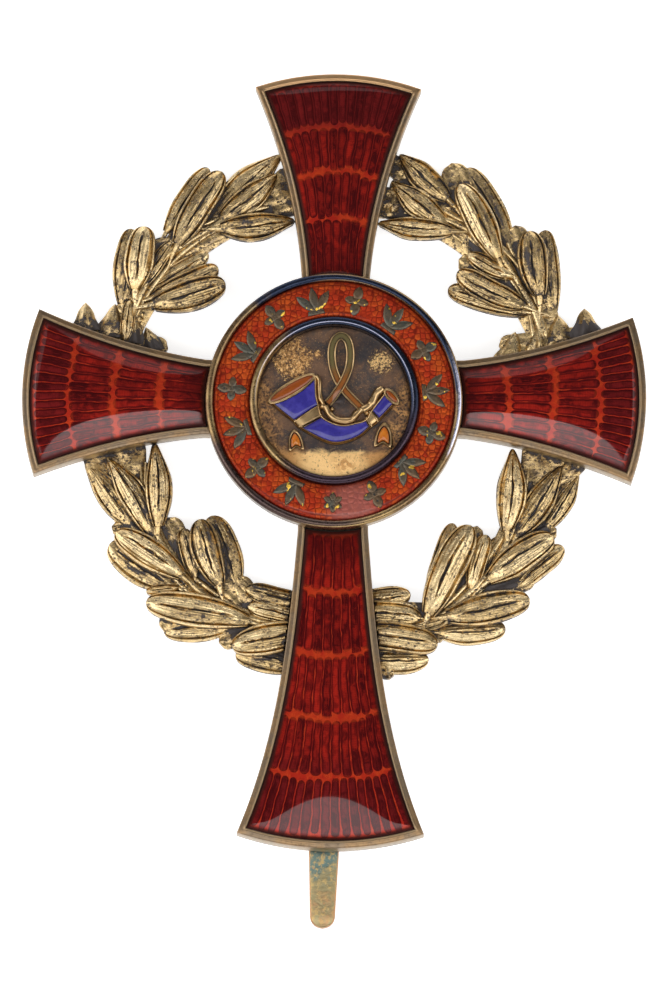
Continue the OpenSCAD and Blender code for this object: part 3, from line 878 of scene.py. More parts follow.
@dataclass(frozen=True)
class DiscFinish:
    """Worn gilding of the centre disc: dark, with speckled gold in patches."""

    name: str
    dark: Colour = (0.062, 0.05, 0.046)
    brown: Colour = (0.25, 0.125, 0.06)
    gold: Colour = (0.62, 0.32, 0.115)
    pale: Colour = (0.95, 0.62, 0.27)

    def material(self) -> Material:
        """Makes the disc's material.

        Returns:
            The material.
        """
        s = Sheet(self.name)
        fine = s.clouds(0.2, 5, 0.75)
        coarse = s.clouds(0.7, 4, 0.65, 0.8)
        broad = s.clouds(2.4, 3, 0.5)
        x, y = s.x, s.y
        far = s.radius()
        uneven = coarse - 0.5
        low = uneven + y
        foot = low.step(-3.7, -4.25) * far.step(6.05, 5.8)
        wide = abs(x) - y * 0.22 + uneven * 1.6
        sides = wide.step(4.4, 5.3) * y.step(2.8, 0.8)
        speckle = fine * 0.75 + coarse * 0.45
        veins = abs(s.clouds(0.42, 4, 0.6, 1.2) - 0.5).step(0.035, 0.012)
        patch = s.near((-3.4, 3.5), 1.7, 0.9).most(s.near((3.75, 3.3), 1, 0.6))
        patch = patch.most(s.near((-1.35, 3.9), 0.35, 0.35))
        mottled = (patch * 0.24 + speckle).step(0.755, 0.8)
        mottled = mottled * (1 - veins * 0.75)
        tan = s.blend(0.55, self.dark, self.brown)
        base = s.blend((uneven * 0.8 + broad).step(0.38, 0.64), self.dark, tan)
        base = s.blend(fine.step(0.54, 0.7, 0, 0.6), base, self.brown)
        base = s.blend(s.clouds(0.13, 2, 0.6).step(0.62, 0.7, 0, 0.5), base, self.gold)
        base = s.blend(fine.step(0.44, 0.3, 0, 0.5), base, (0.028, 0.026, 0.028))
        warm = s.blend(coarse.step(0.38, 0.62), self.brown, self.gold)
        warm = s.blend(fine.step(0.56, 0.4, 0, 0.95), warm, (0.04, 0.034, 0.032))
        colour = s.blend(sides * 0.9, base, warm)
        colour = s.blend(patch * fine.step(0.36, 0.6, 0.2, 0.95), colour, self.brown)
        dim = s.near((0.6, 0.3), 0.9, 0.6).most(s.near((2.5, 4.3), 1.1, 0.8))
        dim = dim.most(s.near((-0.3, -3.45), 1.9, 0.8))
        colour = s.blend(dim * coarse.step(0.4, 0.54, 0.35, 0.85), colour, (0.03, 0.029, 0.035))
        flecks = s.blend(x.step(-1, 2), s.blend(fine.step(0.5, 0.62), self.gold, self.pale), self.pale)
        colour = s.blend(mottled, colour, flecks)
        bottom = s.blend((uneven * 2.2 + abs(x)).step(3.4, 1.8), self.gold, self.pale)
        bottom = s.blend(s.near((1, -4.85), 0.9, 0.7) * coarse.step(0.44, 0.56), bottom, self.gold)
        bottom = s.blend(fine.step(0.58, 0.66, 0, 0.7), bottom, self.brown)
        bottom = s.blend(s.clouds(0.34, 3, 0.7).step(0.59, 0.66, 0, 0.8), bottom, self.brown)
        colour = s.blend(foot, colour, bottom)
        gilt = foot.most(mottled.most(sides * 0.6))
        return s.finish(
            Base_Color=colour, Metallic=gilt * 0.3 + 0.6, Roughness=fine.step(0.3, 0.7, 0.36, 0.5),
            Normal=s.relief(fine + mottled * 0.6, 0.03),
        )


@dataclass(frozen=True)
class PinFinish:
    """Tarnished gilding of the pin, with a blue-green film and coppery edges."""

    name: str
    gold: Colour = (0.55, 0.38, 0.15)
    copper: Colour = (0.42, 0.23, 0.11)
    olive: Colour = (0.3, 0.25, 0.13)
    film: Colour = (0.13, 0.19, 0.17)

    def material(self) -> Material:
        """Makes the pin's material.

        Returns:
            The material.
        """
        s = Sheet(self.name)
        drift = s.clouds(1.3, 4, 0.6, 0.6)
        fine = s.clouds(0.35, 4, 0.65)
        rub = (drift - 0.5) * 1.2 + s.data("hollow")
        lower = s.y + (drift - 0.5) * 7
        colour = s.blend(lower.step(-38.4, -36.6), self.olive, self.film)
        colour = s.blend(fine.step(0.47, 0.64, 0, 0.8), colour, self.gold)
        colour = s.blend(s.cells(0.75).step(0.16, 0.07, 0, 0.8), colour, self.copper)
        colour = s.blend(rub.step(0.35, 0.75), self.copper, colour)
        return s.finish(
            Base_Color=colour, Metallic=0.85, Roughness=fine.step(0.3, 0.7, 0.28, 0.42),
            Normal=s.relief(fine, 0.02),
        )


@dataclass(frozen=True)
class PaperFinish:
    """Matt white paper under the cross."""

    name: str
    white: float = 0.86
    glow: float = 0.7

    def material(self) -> Material:
        """Makes the paper's material.

        Returns:
            The material.
        """
        s = Sheet(self.name)
        tone = s.clouds(40, 2).step(0.3, 0.7, self.white - 0.01, self.white)
        grey = s.node("CombineColor", {0: tone, 1: tone, 2: tone})
        white = (1, 1, 1)
        return s.finish(Base_Color=grey, Roughness=0.9, Emission_Color=white, Emission_Strength=self.glow)


HORN_GILT = GiltFinish(
    "horn_gilding", (0.64, 0.44, 0.22), (0.4, 0.255, 0.12), (0.045, 0.036, 0.03), rough=0.3, patch=0.9,
    pit=0.3, pitting=0, wear_low=0.46, wear_high=0.78, relief_depth=0.001, unrest=0.25,
)
ORNAMENT_METAL = GiltFinish(
    "ornament_metal", (0.095, 0.098, 0.082), (0.15, 0.095, 0.055), (0.035, 0.035, 0.032), rough=0.38,
    patch=1.8, pit=0.2, pitting=0.2, fleck=(0.75, 0.48, 0.07),
)
BLUE_ENAMEL = SolidEnamel("blue_enamel", (0.028, 0.022, 0.22), (0.065, 0.054, 0.35), (0.014, 0.01, 0.07))
ORANGE_ENAMEL = SolidEnamel("orange_enamel", (0.25, 0.052, 0.004), (0.32, 0.075, 0.008), (0.1, 0.025, 0.008))
TASSEL_ENAMEL = SolidEnamel("tassel_enamel", (0.55, 0.145, 0.01), (0.6, 0.22, 0.02), (0.12, 0.03, 0.008))
CORD_ENAMEL = SolidEnamel(
    "cord_enamel", (0.25, 0.075, 0.012), (0.3, 0.11, 0.02), (0.06, 0.03, 0.012), loop=(0.13, 0.105, 0.04)
)


@dataclass(frozen=True)
class ArmShape:
    """Outline of one arm, drawn along +X from the medallion's axis and then turned into its place."""

    turn: float
    reach: float
    axis_y: float
    root_half: float
    end_half: float
    widening: float
    power: float
    end_radius: float
    rows: Row
    rod_width: float
    end_fall: float = 0.5
    end_power: float = 2.6
    root: float = 10.3
    side_points: int = 56
    end_points: int = 36

    @property
    def end_middle(self) -> float:
        """Middle of the convex end's arc on the arm's axis."""
        return self.reach - self.end_radius

    @property
    def corner(self) -> float:
        """How far out the end corners are."""
        return self.end_middle + math.sqrt(self.end_radius**2 - self.end_half**2)

    def half_width(self, r: Array | float) -> Array:
        """Half width of the arm along it.

        Args:
            r: Distances from the medallion's axis.

        Returns:
            The half width at each.
        """
        run = self.corner - self.root
        s = np.maximum(np.asarray(r, float) - self.root, 0)
        flare = self.end_half - self.root_half - self.widening * run
        return self.root_half + self.widening * s + flare * (s / run) ** self.power

    def end_at(self, side: Array | float, inset: float) -> Array:
        """Where a line along the arm meets its convex end.

        Args:
            side: Share of the half width, from -1 to 1.
            inset: Distance inside the arm's outline.

        Returns:
            The distance along the arm.
        """
        r = np.full(np.shape(side), self.corner)
        for _ in range(12):
            y = side * (self.half_width(r) - inset)
            r = self.end_middle + np.sqrt(np.maximum((self.end_radius - inset) ** 2 - y * y, 0))
        return r

    def start_at(self, side: Array, inset: float, radius: float) -> Array:
        """Where a line along the arm leaves a circle about the medallion's axis.

        Args:
            side: Shares of the half width, from -1 to 1.
            inset: Distance inside the arm's outline.
            radius: The circle's radius.

        Returns:
            The distances along the arm.
        """
        middle_x, middle_y = turned(np.array([0, -self.axis_y]), -self.turn)
        r = np.full(np.shape(side), radius)
        for _ in range(8):
            y = side * (self.half_width(r) - inset)
            r = middle_x + np.sqrt(radius**2 - (y - middle_y) ** 2)
        return r

    def outline(self, inset: float, start: float) -> Array:
        """Outline of the arm in its place, open at the hub.

        Args:
            inset: Distance inside the arm's edge.
            start: Distance from the axis where the outline begins.

        Returns:
            The outline's flat points, anticlockwise.
        """
        corner = float(self.end_at(1, inset))
        r = start + (corner - start) * np.linspace(0, 1, self.side_points)
        y = self.half_width(r) - inset
        swing = math.atan2(float(y[-1]), corner - self.end_middle)
        angle = np.linspace(-swing, swing, self.end_points + 2)[1:-1]
        arc = pairs(np.cos(angle), np.sin(angle)) * (self.end_radius - inset)
        arc[:, 0] += self.end_middle
        return self.placed(np.concatenate([pairs(r, -y), arc, pairs(r, y)[::-1]]))

    def placed(self, flat: Array) -> Array:
        """Moves points drawn along +X onto the arm."""
        return turned(flat, self.turn, (0, self.axis_y))

    def covers(self, points: Array, grow: float) -> Array:
        """Tells which points lie under the arm.

        Args:
            points: Points whose last axis begins with x and y.
            grow: How much wider than the arm the test is.

        Returns:
            A mask of the points under it.
        """
        own = turned(points[..., :2] - np.array([0, self.axis_y]), -self.turn)
        r, y = own[..., 0], own[..., 1]
        past = np.hypot(r - self.end_middle, y) < self.end_radius + grow
        return (r > 0) & past & (np.abs(y) < self.half_width(r) + grow)


ARMS = {
    "top": ArmShape(89.9, 26.6, 0, 2.72, 6.62, 0.075, 2, 20, (14.9, 18.7, 22.3), 0.66, 0.5, 1.8),
    "left": ArmShape(178.8, 24.9, 0.2, 3, 6.65, 0.12, 2, 20, (14, 17.7, 21.2), 0.72),
    "right": ArmShape(0, 24.9, 0.6, 3, 6.65, 0.12, 2, 20, (14, 17.6, 21.3), 0.72),
    "bottom": ArmShape(-89.8, 35.75, 0, 2.8, 7.45, 0.08, 3, 23.8, (15.3, 20.3, 25.4, 30.2), 0.74, 0.84, 4.8),
}


def under_arms(points: Array, grow: float) -> Array:
    """Tells which points lie under any arm, tested with the arms grown by a width."""
    return np.any([arm.covers(points, grow) for arm in ARMS.values()], axis=0)


@dataclass
class CrossFrame:
    """The gilt body of the cross: four flared arms with raised rims, on a plain hub."""

    hub_radius: float = 9.9
    hub_segments: int = 128
    rim_width: float = 0.62
    rim_round: float = 0.17
    arm_start: float = 8.4
    back_bevel: float = 0.1
    hub_edge: float = 0.05
    wall: tuple[Triple, ...] = ((0.1, 0, 0.5), (0.03, 0.03, 0.3), (0, 0.1, 0.25), (0, 1, 0.1))
    crest: tuple[Triple, ...] = (
        (0.02, 0.11, 0.2), (0.06, 0.085, 0.24), (0.16, 0.07, 0.24), (0.28, 0.06, 0.26), (0.35, 0.062, 0.34),
        (0.38, 0.05, 0.2), (0.42, 0.02, 0.04), (0.47, 0, 0), (0.52, 0.01, 0.04), (0.56, 0.05, 0.3),
        (0.59, 0.11, 0.7),
    )

    def profile(self) -> list[Triple]:
        """Section of an arm's wall and rim.

        Returns:
            Inset, height and hollow value, from the back over the rim to the sunk floor.
        """
        back, top = LEVEL.cross_back, LEVEL.cross_top
        shoulder = top - self.rim_round
        rows = [(inset, back + rise, value) for inset, rise, value in self.wall] + [(0, shoulder, 0.12)]
        rows += [(inset, top - drop, value) for inset, drop, value in self.crest]
        return rows + [(self.rim_width, shoulder, 1), (self.rim_width + 0.02, LEVEL.field_floor, 1)]

    def build(self, finish: Material) -> None:
        """Makes the frame.

        Args:
            finish: Its gilding.
        """
        shell = Shell()
        for arm in ARMS.values():
            rings, hollow = [], []
            for inset, z, value in self.profile():
                rings.append(lifted(arm.outline(inset, self.arm_start), z))
                hollow.append(np.full(len(rings[0]), value))
            shell.loft(np.array(rings), np.array(hollow))
        edge = [
            (self.hub_radius - self.back_bevel, LEVEL.cross_back),
            (self.hub_radius, LEVEL.cross_back + self.back_bevel),
            (self.hub_radius, LEVEL.cross_top - self.hub_edge),
            (self.hub_radius - self.hub_edge, LEVEL.cross_top),
        ]
        shell.loft(np.array([lifted(circle(self.hub_segments) * r, z) for r, z in edge]), 0.4)
        shell.make("cross_frame_gilt", finish, "gilt", "cross_frame")


@dataclass
class EnamelField:
    """Domed clear enamel in the sunk field of one arm, over its engraved rows of rods."""

    name: str
    arm: ArmShape
    inset: float = 0.63
    start_radius: float = 10.36
    across_steps: int = 44
    step_length: float = 0.26
    below_rim: float = 0.09
    rise: float = 0.45
    edge_drop: float = 0.04
    edge_width: float = 0.15
    end_width: float = 0.22

    def marks(self) -> tuple[Array, Array, Array]:
        """Places of the grid's lines along the field.

        Returns:
            The places as shares of the field's length, the row of each step, and the rows' limits.
        """
        start, length = self.start_radius, self.arm.reach - self.inset - self.start_radius
        limits = [0, *[(r - start) / length for r in self.arm.rows], 1]
        places, rows = [0], []
        for row, (low, high) in enumerate(zip(limits, limits[1:])):
            count = max(5, round((high - low) * length / self.step_length))
            places += [low + (high - low) * (k + 1) / count for k in range(count)]
            rows += [row] * count
        return np.array(places), np.array(rows), np.array(limits)

    def surface(self, side: Array, along: Array) -> tuple[Array, Array]:
        """Points of the domed top.

        Args:
            side: Shares of the half width, from -1 to 1.
            along: Shares of the field's length.

        Returns:
            The grid of points, and each point's distance to the field's edge.
        """
        arm = self.arm
        first, last = arm.start_at(side, self.inset, self.start_radius), arm.end_at(side, self.inset)
        reach, length = along[:, None], last - first
        r = first + length * reach
        half = arm.half_width(r) - self.inset
        edge = np.minimum(np.minimum((1 - np.abs(side)) * half, (1 - reach) * length), reach * length)
        outer = 1 - arm.end_fall * np.clip((reach - 0.4) / 0.6, 0, 1) ** arm.end_power
        inner = 1 - 0.35 * np.clip((0.5 - reach) / 0.5, 0, 1) ** 3
        swell = self.rise * (half / (arm.end_half - self.inset)) ** 0.44 * (1 - side**2) * outer * inner
        swell *= 1 - np.exp(-(1 - reach) * length / self.end_width)
        z = LEVEL.cross_top - self.below_rim + swell - self.edge_drop * np.exp(-edge / self.edge_width)
        return lifted(arm.placed(pairs(r, side * half)), z), edge

    def build(self, finish: Material) -> None:
        """Makes the field, and writes each face corner's place among its engraved rods.

        Args:
            finish: Its enamel.
        """
        even = np.linspace(-1, 1, self.across_steps + 1)
        side = 0.45 * even + 0.55 * np.sin(even * math.pi / 2)
        along, rows, limits = self.marks()
        top, edge = self.surface(side, along)
        shell = Shell()
        shell.slab(top, LEVEL.field_floor + 0.03)
        mesh = shell.make(f"{self.name}_rods", finish, "red_enamel", self.name).data

        wide = len(side)
        point, sizes = np.zeros(len(mesh.loops), np.int32), np.zeros(len(mesh.polygons), np.int32)
        mesh.loops.foreach_get("vertex_index", point)
        mesh.polygons.foreach_get("loop_total", sizes)
        face = np.repeat(np.arange(len(sizes)), sizes)
        on_top = (point < len(along) * wide) & (face < len(rows) * (wide - 1))
        i, j = np.where(on_top, point // wide, 0), np.where(on_top, point % wide, 0)
        row = rows[np.where(on_top, face // (wide - 1), 0)]
        low, high = limits[:-1], limits[1:]
        length = self.arm.reach - self.inset - self.start_radius
        width = 2 * (self.arm.half_width(self.start_radius + length * (low + high) / 2) - self.inset)
        counts = np.round(width / self.arm.rod_width)
        aspect = length * (high - low) / (width / counts)
        share = (along[i] - low[row]) / (high - low)[row]
        rods = np.stack([(side[j] + 1) / 2 * counts[row], share, row + self.arm.turn], 1)
        span = np.stack([aspect[row], np.where(on_top, edge[i, j], 0), along[i]], 1)
        for name, values in (("rods", rods), ("row", span)):
            layer = mesh.attributes.new(name, "FLOAT_VECTOR", "CORNER")
            layer.data.foreach_set("vector", values.astype(np.float32).ravel())


@dataclass
class Medallion:
    """The round medallion: two rims, the band with its ornaments and enamel, and the sunk disc."""

    outer_radius: float = 10.26
    outer_rim: float = 0.62
    band_inner: float = 6.76
    opening: float = 6.1
    ornament_radius: float = 8.2
    ornament_count: int = 15
    segments: int = 256
    disc_segments: int = 96
    crest_steps: int = 10
    band_steps: int = 24
    gap: float = 0.03

    def crest(self, inner: float, outer: float, top: float) -> list[Triple]:
        """Round top of a rim.

        Args:
            inner: Its inner radius.
            outer: Its outer radius.
            top: Height of its crest.

        Returns:
            Radius, height and hollow value of each point, from the inner edge outwards.
        """
        half = (outer - inner) / 2
        points = []
        for a in np.linspace(0, math.pi, self.crest_steps + 1):
            rise = math.sin(a)
            r = inner + half - half * math.cos(a)
            points.append((r, top - half + half * rise**0.85, 0.35 - 0.25 * rise))
        return points

    def rims(self, finish: Material) -> None:
        """Makes the rims and the floor between them.

        Args:
            finish: Their tarnished gilding.
        """
        outer = self.outer_radius - self.outer_rim
        profile = [
            # The opening's wall takes high hollow values: painted shade in the recess round the disc,
            # together with patina.
            (self.opening + 0.02, LEVEL.seat, 0.8),
            (self.opening, LEVEL.disc_top + 0.1, 0.85),
            *self.crest(self.opening, self.band_inner, LEVEL.inner_rim),
            (self.band_inner, LEVEL.band_floor, 0.9),
            (outer, LEVEL.band_floor, 0.9),
            *self.crest(outer, self.outer_radius, LEVEL.outer_rim),
            (self.outer_radius, LEVEL.seat + 0.1, 0.3),
            (self.outer_radius - 0.08, LEVEL.seat, 0.4),
        ]
        shell = Shell()
        shell.lathe(profile, self.segments)
        shell.make("medallion_rims", finish, "gilt", "medallion_ring")

    def band(self, finish: Material) -> None:
        """Makes the band's enamel.

        Args:
            finish: The enamel.
        """
        inner, outer = self.band_inner + self.gap, self.outer_radius - self.outer_rim - self.gap
        middle, half = (inner + outer) / 2, (outer - inner) / 2
        low, brink = LEVEL.band_floor + self.gap, LEVEL.band_top - 0.12
        profile = [(inner, low, 1), (inner, brink, 1)]
        for k in range(1, self.band_steps):
            r = inner + (outer - inner) * k / self.band_steps
            lip = math.exp(-min(r - inner, outer - r) / 0.12)
            drop = 0.07 * ((r - middle) / half) ** 2
            profile.append((r, LEVEL.band_top + 0.03 - drop - 0.05 * lip, 0.9 * lip))
        shell = Shell()
        shell.lathe([*profile, (outer, brink, 1), (outer, low, 1)], self.segments)
        shell.make("band_enamel_cells", finish, "orange_enamel", "band_enamel")

    def petal(self, length: float, width: float, steps: int = 9) -> Array:
        """Outline of a pointed petal between two arcs, from the origin along +Y.

        Args:
            length: Its length.
            width: Its width.
            steps: Pieces of each arc.

        Returns:
            The outline, anticlockwise.
        """
        radius = (length**2 + width**2) / (4 * width)
        y = length * (0.5 - 0.5 * np.cos(math.pi * np.arange(steps + 1) / steps))
        right = pairs(np.sqrt(radius**2 - (y - length / 2) ** 2) - radius + width / 2, y)
        return np.concatenate([right, (right * [-1, 1])[-2:0:-1]])

    def ornament(self, number: int) -> list[Array]:
        """Outlines of one ornament, drawn about the origin with its top along +Y.

        Args:
            number: Its number round the band, 0 at the foot.

        Returns:
            Its outlines.
        """
        if number == 0:
            return [turned(self.petal(0.84, 0.52), 60 * k) for k in range(6)] + [circle(18) * 0.27]
        if number % 2 == 0:
            foot = np.array([[-0.7, -1.15], [0.7, -1.15], [0.62, -0.78], [-0.62, -0.78]])
            return [turned(self.petal(2, 0.72), turn, (0, -0.9)) for turn in (-42, 42, 0)] + [foot]
        long = [turned(self.petal(1.2, 0.8), turn) for turn in (0, 180)]
        return long + [turned(self.petal(0.98, 0.66), turn) for turn in (90, 270)] + [circle(18) * 0.34]

    def ornaments(self, finish: Material) -> None:
        """Makes the ornaments that stand in the band.

        Args:
            finish: Their tarnished metal.
        """
        shell = Shell()
        rows = (
            (1, -0.06, 0.8), (0.97, -0.01, 0.55), (0.86, 0.02, 0.25), (0.5, 0.045, 0.1), (0.12, 0.03, 0.3)
        )
        steps = [(share, LEVEL.ornament_top + rise, value) for share, rise, value in rows]
        for number in range(self.ornament_count):
            for outline in self.ornament(number):
                flat = turned(outline, 180, (0, -self.ornament_radius))
                flat = turned(flat, number * 360 / self.ornament_count)
                shell.boss(flat, flat.mean(axis=0), steps, LEVEL.band_floor)
        shell.make("band_ornaments", finish, "gilt", "medallion_ring")

    def disc(self, finish: Material) -> None:
        """Makes the sunk disc, with the slight waves of beaten metal.

        Args:
            finish: Its worn gilding.
        """
        radius, flat = self.opening - self.gap, circle(self.disc_segments)
        angle = np.linspace(0, FULL_TURN, self.disc_segments, endpoint=False)
        rings = [lifted(flat * radius, LEVEL.seat), lifted(flat * radius, LEVEL.disc_top - 0.04)]
        for r in np.linspace(radius - 0.05, 0.15, 26):
            wave = 0.012 * (np.sin(3 * angle + 1.3 * r) + np.sin(5 * angle - 2.1 * r) - 2)
            rings.append(lifted(flat * r, LEVEL.disc_top + wave))
        hollow = [np.full(len(flat), 0.8 if k < 3 else 0.3) for k in range(len(rings))]
        shell = Shell()
        shell.loft(np.array(rings), np.array(hollow))
        shell.make("centre_disc_worn", finish, "dark_gilt", "centre_disc")


@dataclass
class Horn:
    """The raised hunting horn with its looped cord, its enamel cells and its two tassels."""

    sections: tuple[Row, ...] = (
        (-5.25, -0.1, -1.4, 2.1), (-4.3, -0.9, -1.32, 0.6), (-3.3, -1.68, -1.15, -0.2),
        (-2.75, -2.2, -0.85, -1.15), (-0.9, -3.2, -0.1, -1.6), (0.35, -3.45, 0.75, -1.8),
        (1.95, -2.95, 1.7, -1.62), (2.95, -2.1, 2.5, -1.32), (3.68, -1.5, 2.9, -0.62),
        (4.9, -0.16, 3.86, 0.68),
    )
    cord: tuple[Spot, ...] = (
        (-0.5, -0.15), (0.1, 0.6), (0.75, 1.7), (1.17, 2.9), (1.24, 4.05), (1.02, 4.95), (0.5, 5.32),
        (-0.02, 4.95), (-0.24, 4.05), (-0.14, 2.9), (0.25, 1.8), (0.85, 0.9), (1.5, 0.2), (2.15, -0.45),
    )
    strap: tuple[Spot, ...] = (
        (-0.7, -0.4), (-0.35, -1), (0.1, -1.4), (0.8, -1.55), (1.4, -1.45), (1.75, -1.05), (2.2, -0.6),
    )
    ridge: tuple[Spot, ...] = ((2.3, -0.65), (2.85, -0.3), (3.1, 0.15), (3.45, 0.75), (3.85, 1.1))
    bell_edge: tuple[Spot, ...] = ((-1.5, 2.05), (-1.22, 1.75), (-1.18, 1), (-1.1, 0.3), (-0.85, -0.2))
    knots: tuple[Triple, ...] = (
        (-0.85, -0.35, 0.36), (-0.45, -0.85, 0.34), (-0.15, -0.6, 0.22),
        (1.75, -0.95, 0.34), (2.3, -0.55, 0.3), (2.62, -0.85, 0.26),
    )
    bell_mouth: Row = (-3.4, 0.98, 2, 0.4, 31.8)
    mouthpiece: Row = (4.6, 0.44, 0.66, 0.22, -46)
    tassel: tuple[Spot, ...] = ((0, 0.9), (-0.5, 0.25), (-0.6, -0.85), (0, -0.6), (0.6, -0.85), (0.5, 0.25))
    ribs: Row = (2.1, 2.9, 7.12, 7.86)
    lip: float = 0.2
    cord_half: float = 0.33
    smooth: int = 8
    margin: float = 0.2
    inner_columns: int = 11
    cell_floor: float = 0.23

    def skin(self, start: float, end: float, steps: int, columns: Array) -> tuple[Array, Array]:
        """Grid of flat points on a stretch of the horn's tube.

        Args:
            start: Section place where it begins.
            end: Section place where it ends.
            steps: Steps along it.
            columns: Share of the width and added distance of each column, from the lower edge.

        Returns:
            The grid, and the section place of each row.
        """
        curve = smooth_path(self.sections, self.smooth)
        place = np.linspace(start, end, steps + 1)
        at = place * self.smooth
        row = np.stack([np.interp(at, np.arange(len(curve)), column) for column in curve.T], 1)
        span = row[:, None, 2:] - row[:, None, :2]
        unit = span / np.linalg.norm(span, axis=-1, keepdims=True)
        return row[:, None, :2] + span * columns[None, :, :1] + unit * columns[None, :, 1:], place

    def mouth_clear(self, flat: Array) -> Array:
        """Tells which points lie clear of the two oval mouths.

        Args:
            flat: Flat points.

        Returns:
            A mask of the clear ones.
        """
        clear = np.ones(flat.shape[:-1], bool)
        for x, y, length, width, turn in (self.bell_mouth, self.mouthpiece):
            own = turned(flat - np.array([x, y]), -turn) / [length + self.lip, width + self.lip]
            clear &= (own**2).sum(axis=-1) > 1
        return clear

    def oval(self, spec: Row, grow: float) -> Array:
        """Outline of an oval given by middle x and y, half length, half width and turn, drawn larger."""
        return turned(circle(48) * [spec[2] + grow, spec[3] + grow], spec[4], spec[:2])

    def tube_wall(self, shell: Shell) -> None:
        """Adds the horn's tube, with double raised edges round its cells and plain bands between them.

        Args:
            shell: The shell to add it to.
        """
        count = self.inner_columns
        steps = (0, 0.02, 0.05, 0.08, 0.1, 0.12, 0.15, 0.18, self.margin)
        edge_z = (0.3, 0.42, 0.46, 0.44, 0.4, 0.52, 0.585, 0.575, 0.53)
        edge_hollow = (0.7, 0.2, 0, 0.2, 0.8, 0.3, 0, 0, 0.3)
        inner = [(s, self.margin * (1 - 2 * s)) for s in np.linspace(0, 1, count + 2)[1:-1]]
        columns = np.array([*[(0, d) for d in steps], *inner, *[(1, -d) for d in reversed(steps)]])
        grid, place = self.skin(0, len(self.sections) - 1, 110, columns)
        cells = np.zeros(len(place))
        for start, end in ((0, 2), (3, 7), (8, 9.1)):
            inside = ease(place, start - 0.05, start + 0.05) * ease(place, end + 0.05, end - 0.05)
            cells = np.maximum(cells, inside)
        swell = 0.54 + 0.05 * np.sqrt(1 - np.linspace(-1, 1, count) ** 2)
        flat = np.full(count, 0.3)
        plain = np.concatenate([edge_z, swell, edge_z[::-1]])
        sunk = np.concatenate([edge_z, flat, edge_z[::-1]])
        hollow = np.concatenate([edge_hollow, flat - 0.1, edge_hollow[::-1]])
        depth = cells[:, None] * sunk + (1 - cells[:, None]) * plain
        depth = np.where(self.mouth_clear(grid), depth, np.minimum(depth, 0.3))
        top = lifted(grid, LEVEL.horn_base + depth)
        shell.slab(top, LEVEL.horn_base, np.broadcast_to(hollow, depth.shape), 0.9)

    def cord_path(self) -> Array:
        """Path of the cord's middle, which rises where it passes over itself.

        Returns:
            The path.
        """
        flat = smooth_path(self.cord, 10)
        share = np.linspace(0, 1, len(flat))
        over = ease(share, 0.03, 0.12) * ease(share, 0.24, 0.15)
        return lifted(flat, LEVEL.horn_base + 0.42 + 0.14 * over)

    def metal(self, finish: Material) -> None:
        """Makes the horn's casting.

        Args:
            finish: Its gilding.
        """
        shell, base, top = Shell(), LEVEL.horn_base, LEVEL.horn_top
        self.tube_wall(shell)
        for spec, rise in ((self.bell_mouth, 0.02), (self.mouthpiece, 0.04)):
            steps = [(1, top - 0.1, 0.5), (0.985, top - 0.03, 0.2)]
            shell.boss(self.oval(spec, self.lip), spec[:2], steps, base)
            shell.cable(lifted(self.oval(spec, self.lip * 0.45), top - 0.04 + rise), 0.085, closed=True)
        bank = ((1, -0.3), (1, 0.02), (0.95, 0.1), (0.82, 0.125), (0.69, 0.1), (0.62, 0))
        right = np.array(bank) * [self.cord_half, 1]
        shade = [0.9, 0.3, 0, 0, 0, 0.8]
        shell.tube(self.cord_path(), np.concatenate([right, right[::-1] * [-1, 1]]), shade + shade[::-1])
        for route, rise, half in (
            (self.strap, 0.44, 0.27), (self.ridge, 0.42, 0.34), (self.bell_edge, 0.34, 0.17)
        ):
            path = smooth_path(route, 9)
            swell = 1 + 0.07 * np.cos(np.arange(len(path)) * 0.45)
            shell.cable(lifted(path, base + rise), half * swell, sides=14)
        for x, y, size in self.knots:
            shell.knob((x, y, base + 0.42), size, 0.34)
        share = np.linspace(-1, 1, 9)
        for at in self.ribs:
            grid, _ = self.skin(at, at + 0.001, 1, pairs(0.5 + 0.47 * share, 0))
            shell.cable(lifted(grid[0], base + 0.54 + 0.06 * np.sqrt(1 - share**2)), 0.05)
        shell.make("horn_casting", finish, "gilt", "horn", sharp=35)

    def cell(self, name: str, stretch: Spot, finish: Material) -> None:
        """Makes the domed enamel of one cell of the tube.

        Args:
            name: The cell's name.
            stretch: Section places where it begins and ends.
            finish: Its enamel.
        """
        side = np.sin(np.linspace(-1, 1, 21) * math.pi / 2)
        grid, place = self.skin(*stretch, 48, pairs((side + 1) / 2, -side * self.margin))
        t = (place - stretch[0]) / (stretch[1] - stretch[0])
        dome = np.sqrt(np.clip(1 - side**2, 0, 1)) * (1 - np.abs(2 * t - 1) ** 10)[:, None]
        z = np.where(self.mouth_clear(grid), LEVEL.horn_top - 0.11 + 0.15 * dome, LEVEL.horn_base + 0.35)
        shell = Shell()
        shell.slab(lifted(grid, z), LEVEL.horn_base + self.cell_floor, np.clip(0.9 * (1 - dome * 2.6), 0, 1))
        shell.make(f"{name}_blue", finish, "blue_enamel", f"{name}_enamel")

    def mouth(self, name: str, spec: Row, finish: Material) -> None:
        """Makes the enamel of the bell's mouth or of the mouthpiece.

        Args:
            name: The mouth's name.
            spec: The oval that it fills.
            finish: Its enamel.
        """
        rows = ((1, -0.04, 1), (0.93, 0, 0.5), (0.75, 0.025, 0), (0.4, 0.04, 0), (0.08, 0.045, 0))
        steps = [(share, LEVEL.horn_top + rise, value) for share, rise, value in rows]
        shell = Shell()
        shell.boss(self.oval(spec, -0.01), spec[:2], steps, LEVEL.horn_base + self.cell_floor)
        shell.make(f"{name}_orange", finish, "orange_enamel", f"{name}_enamel")

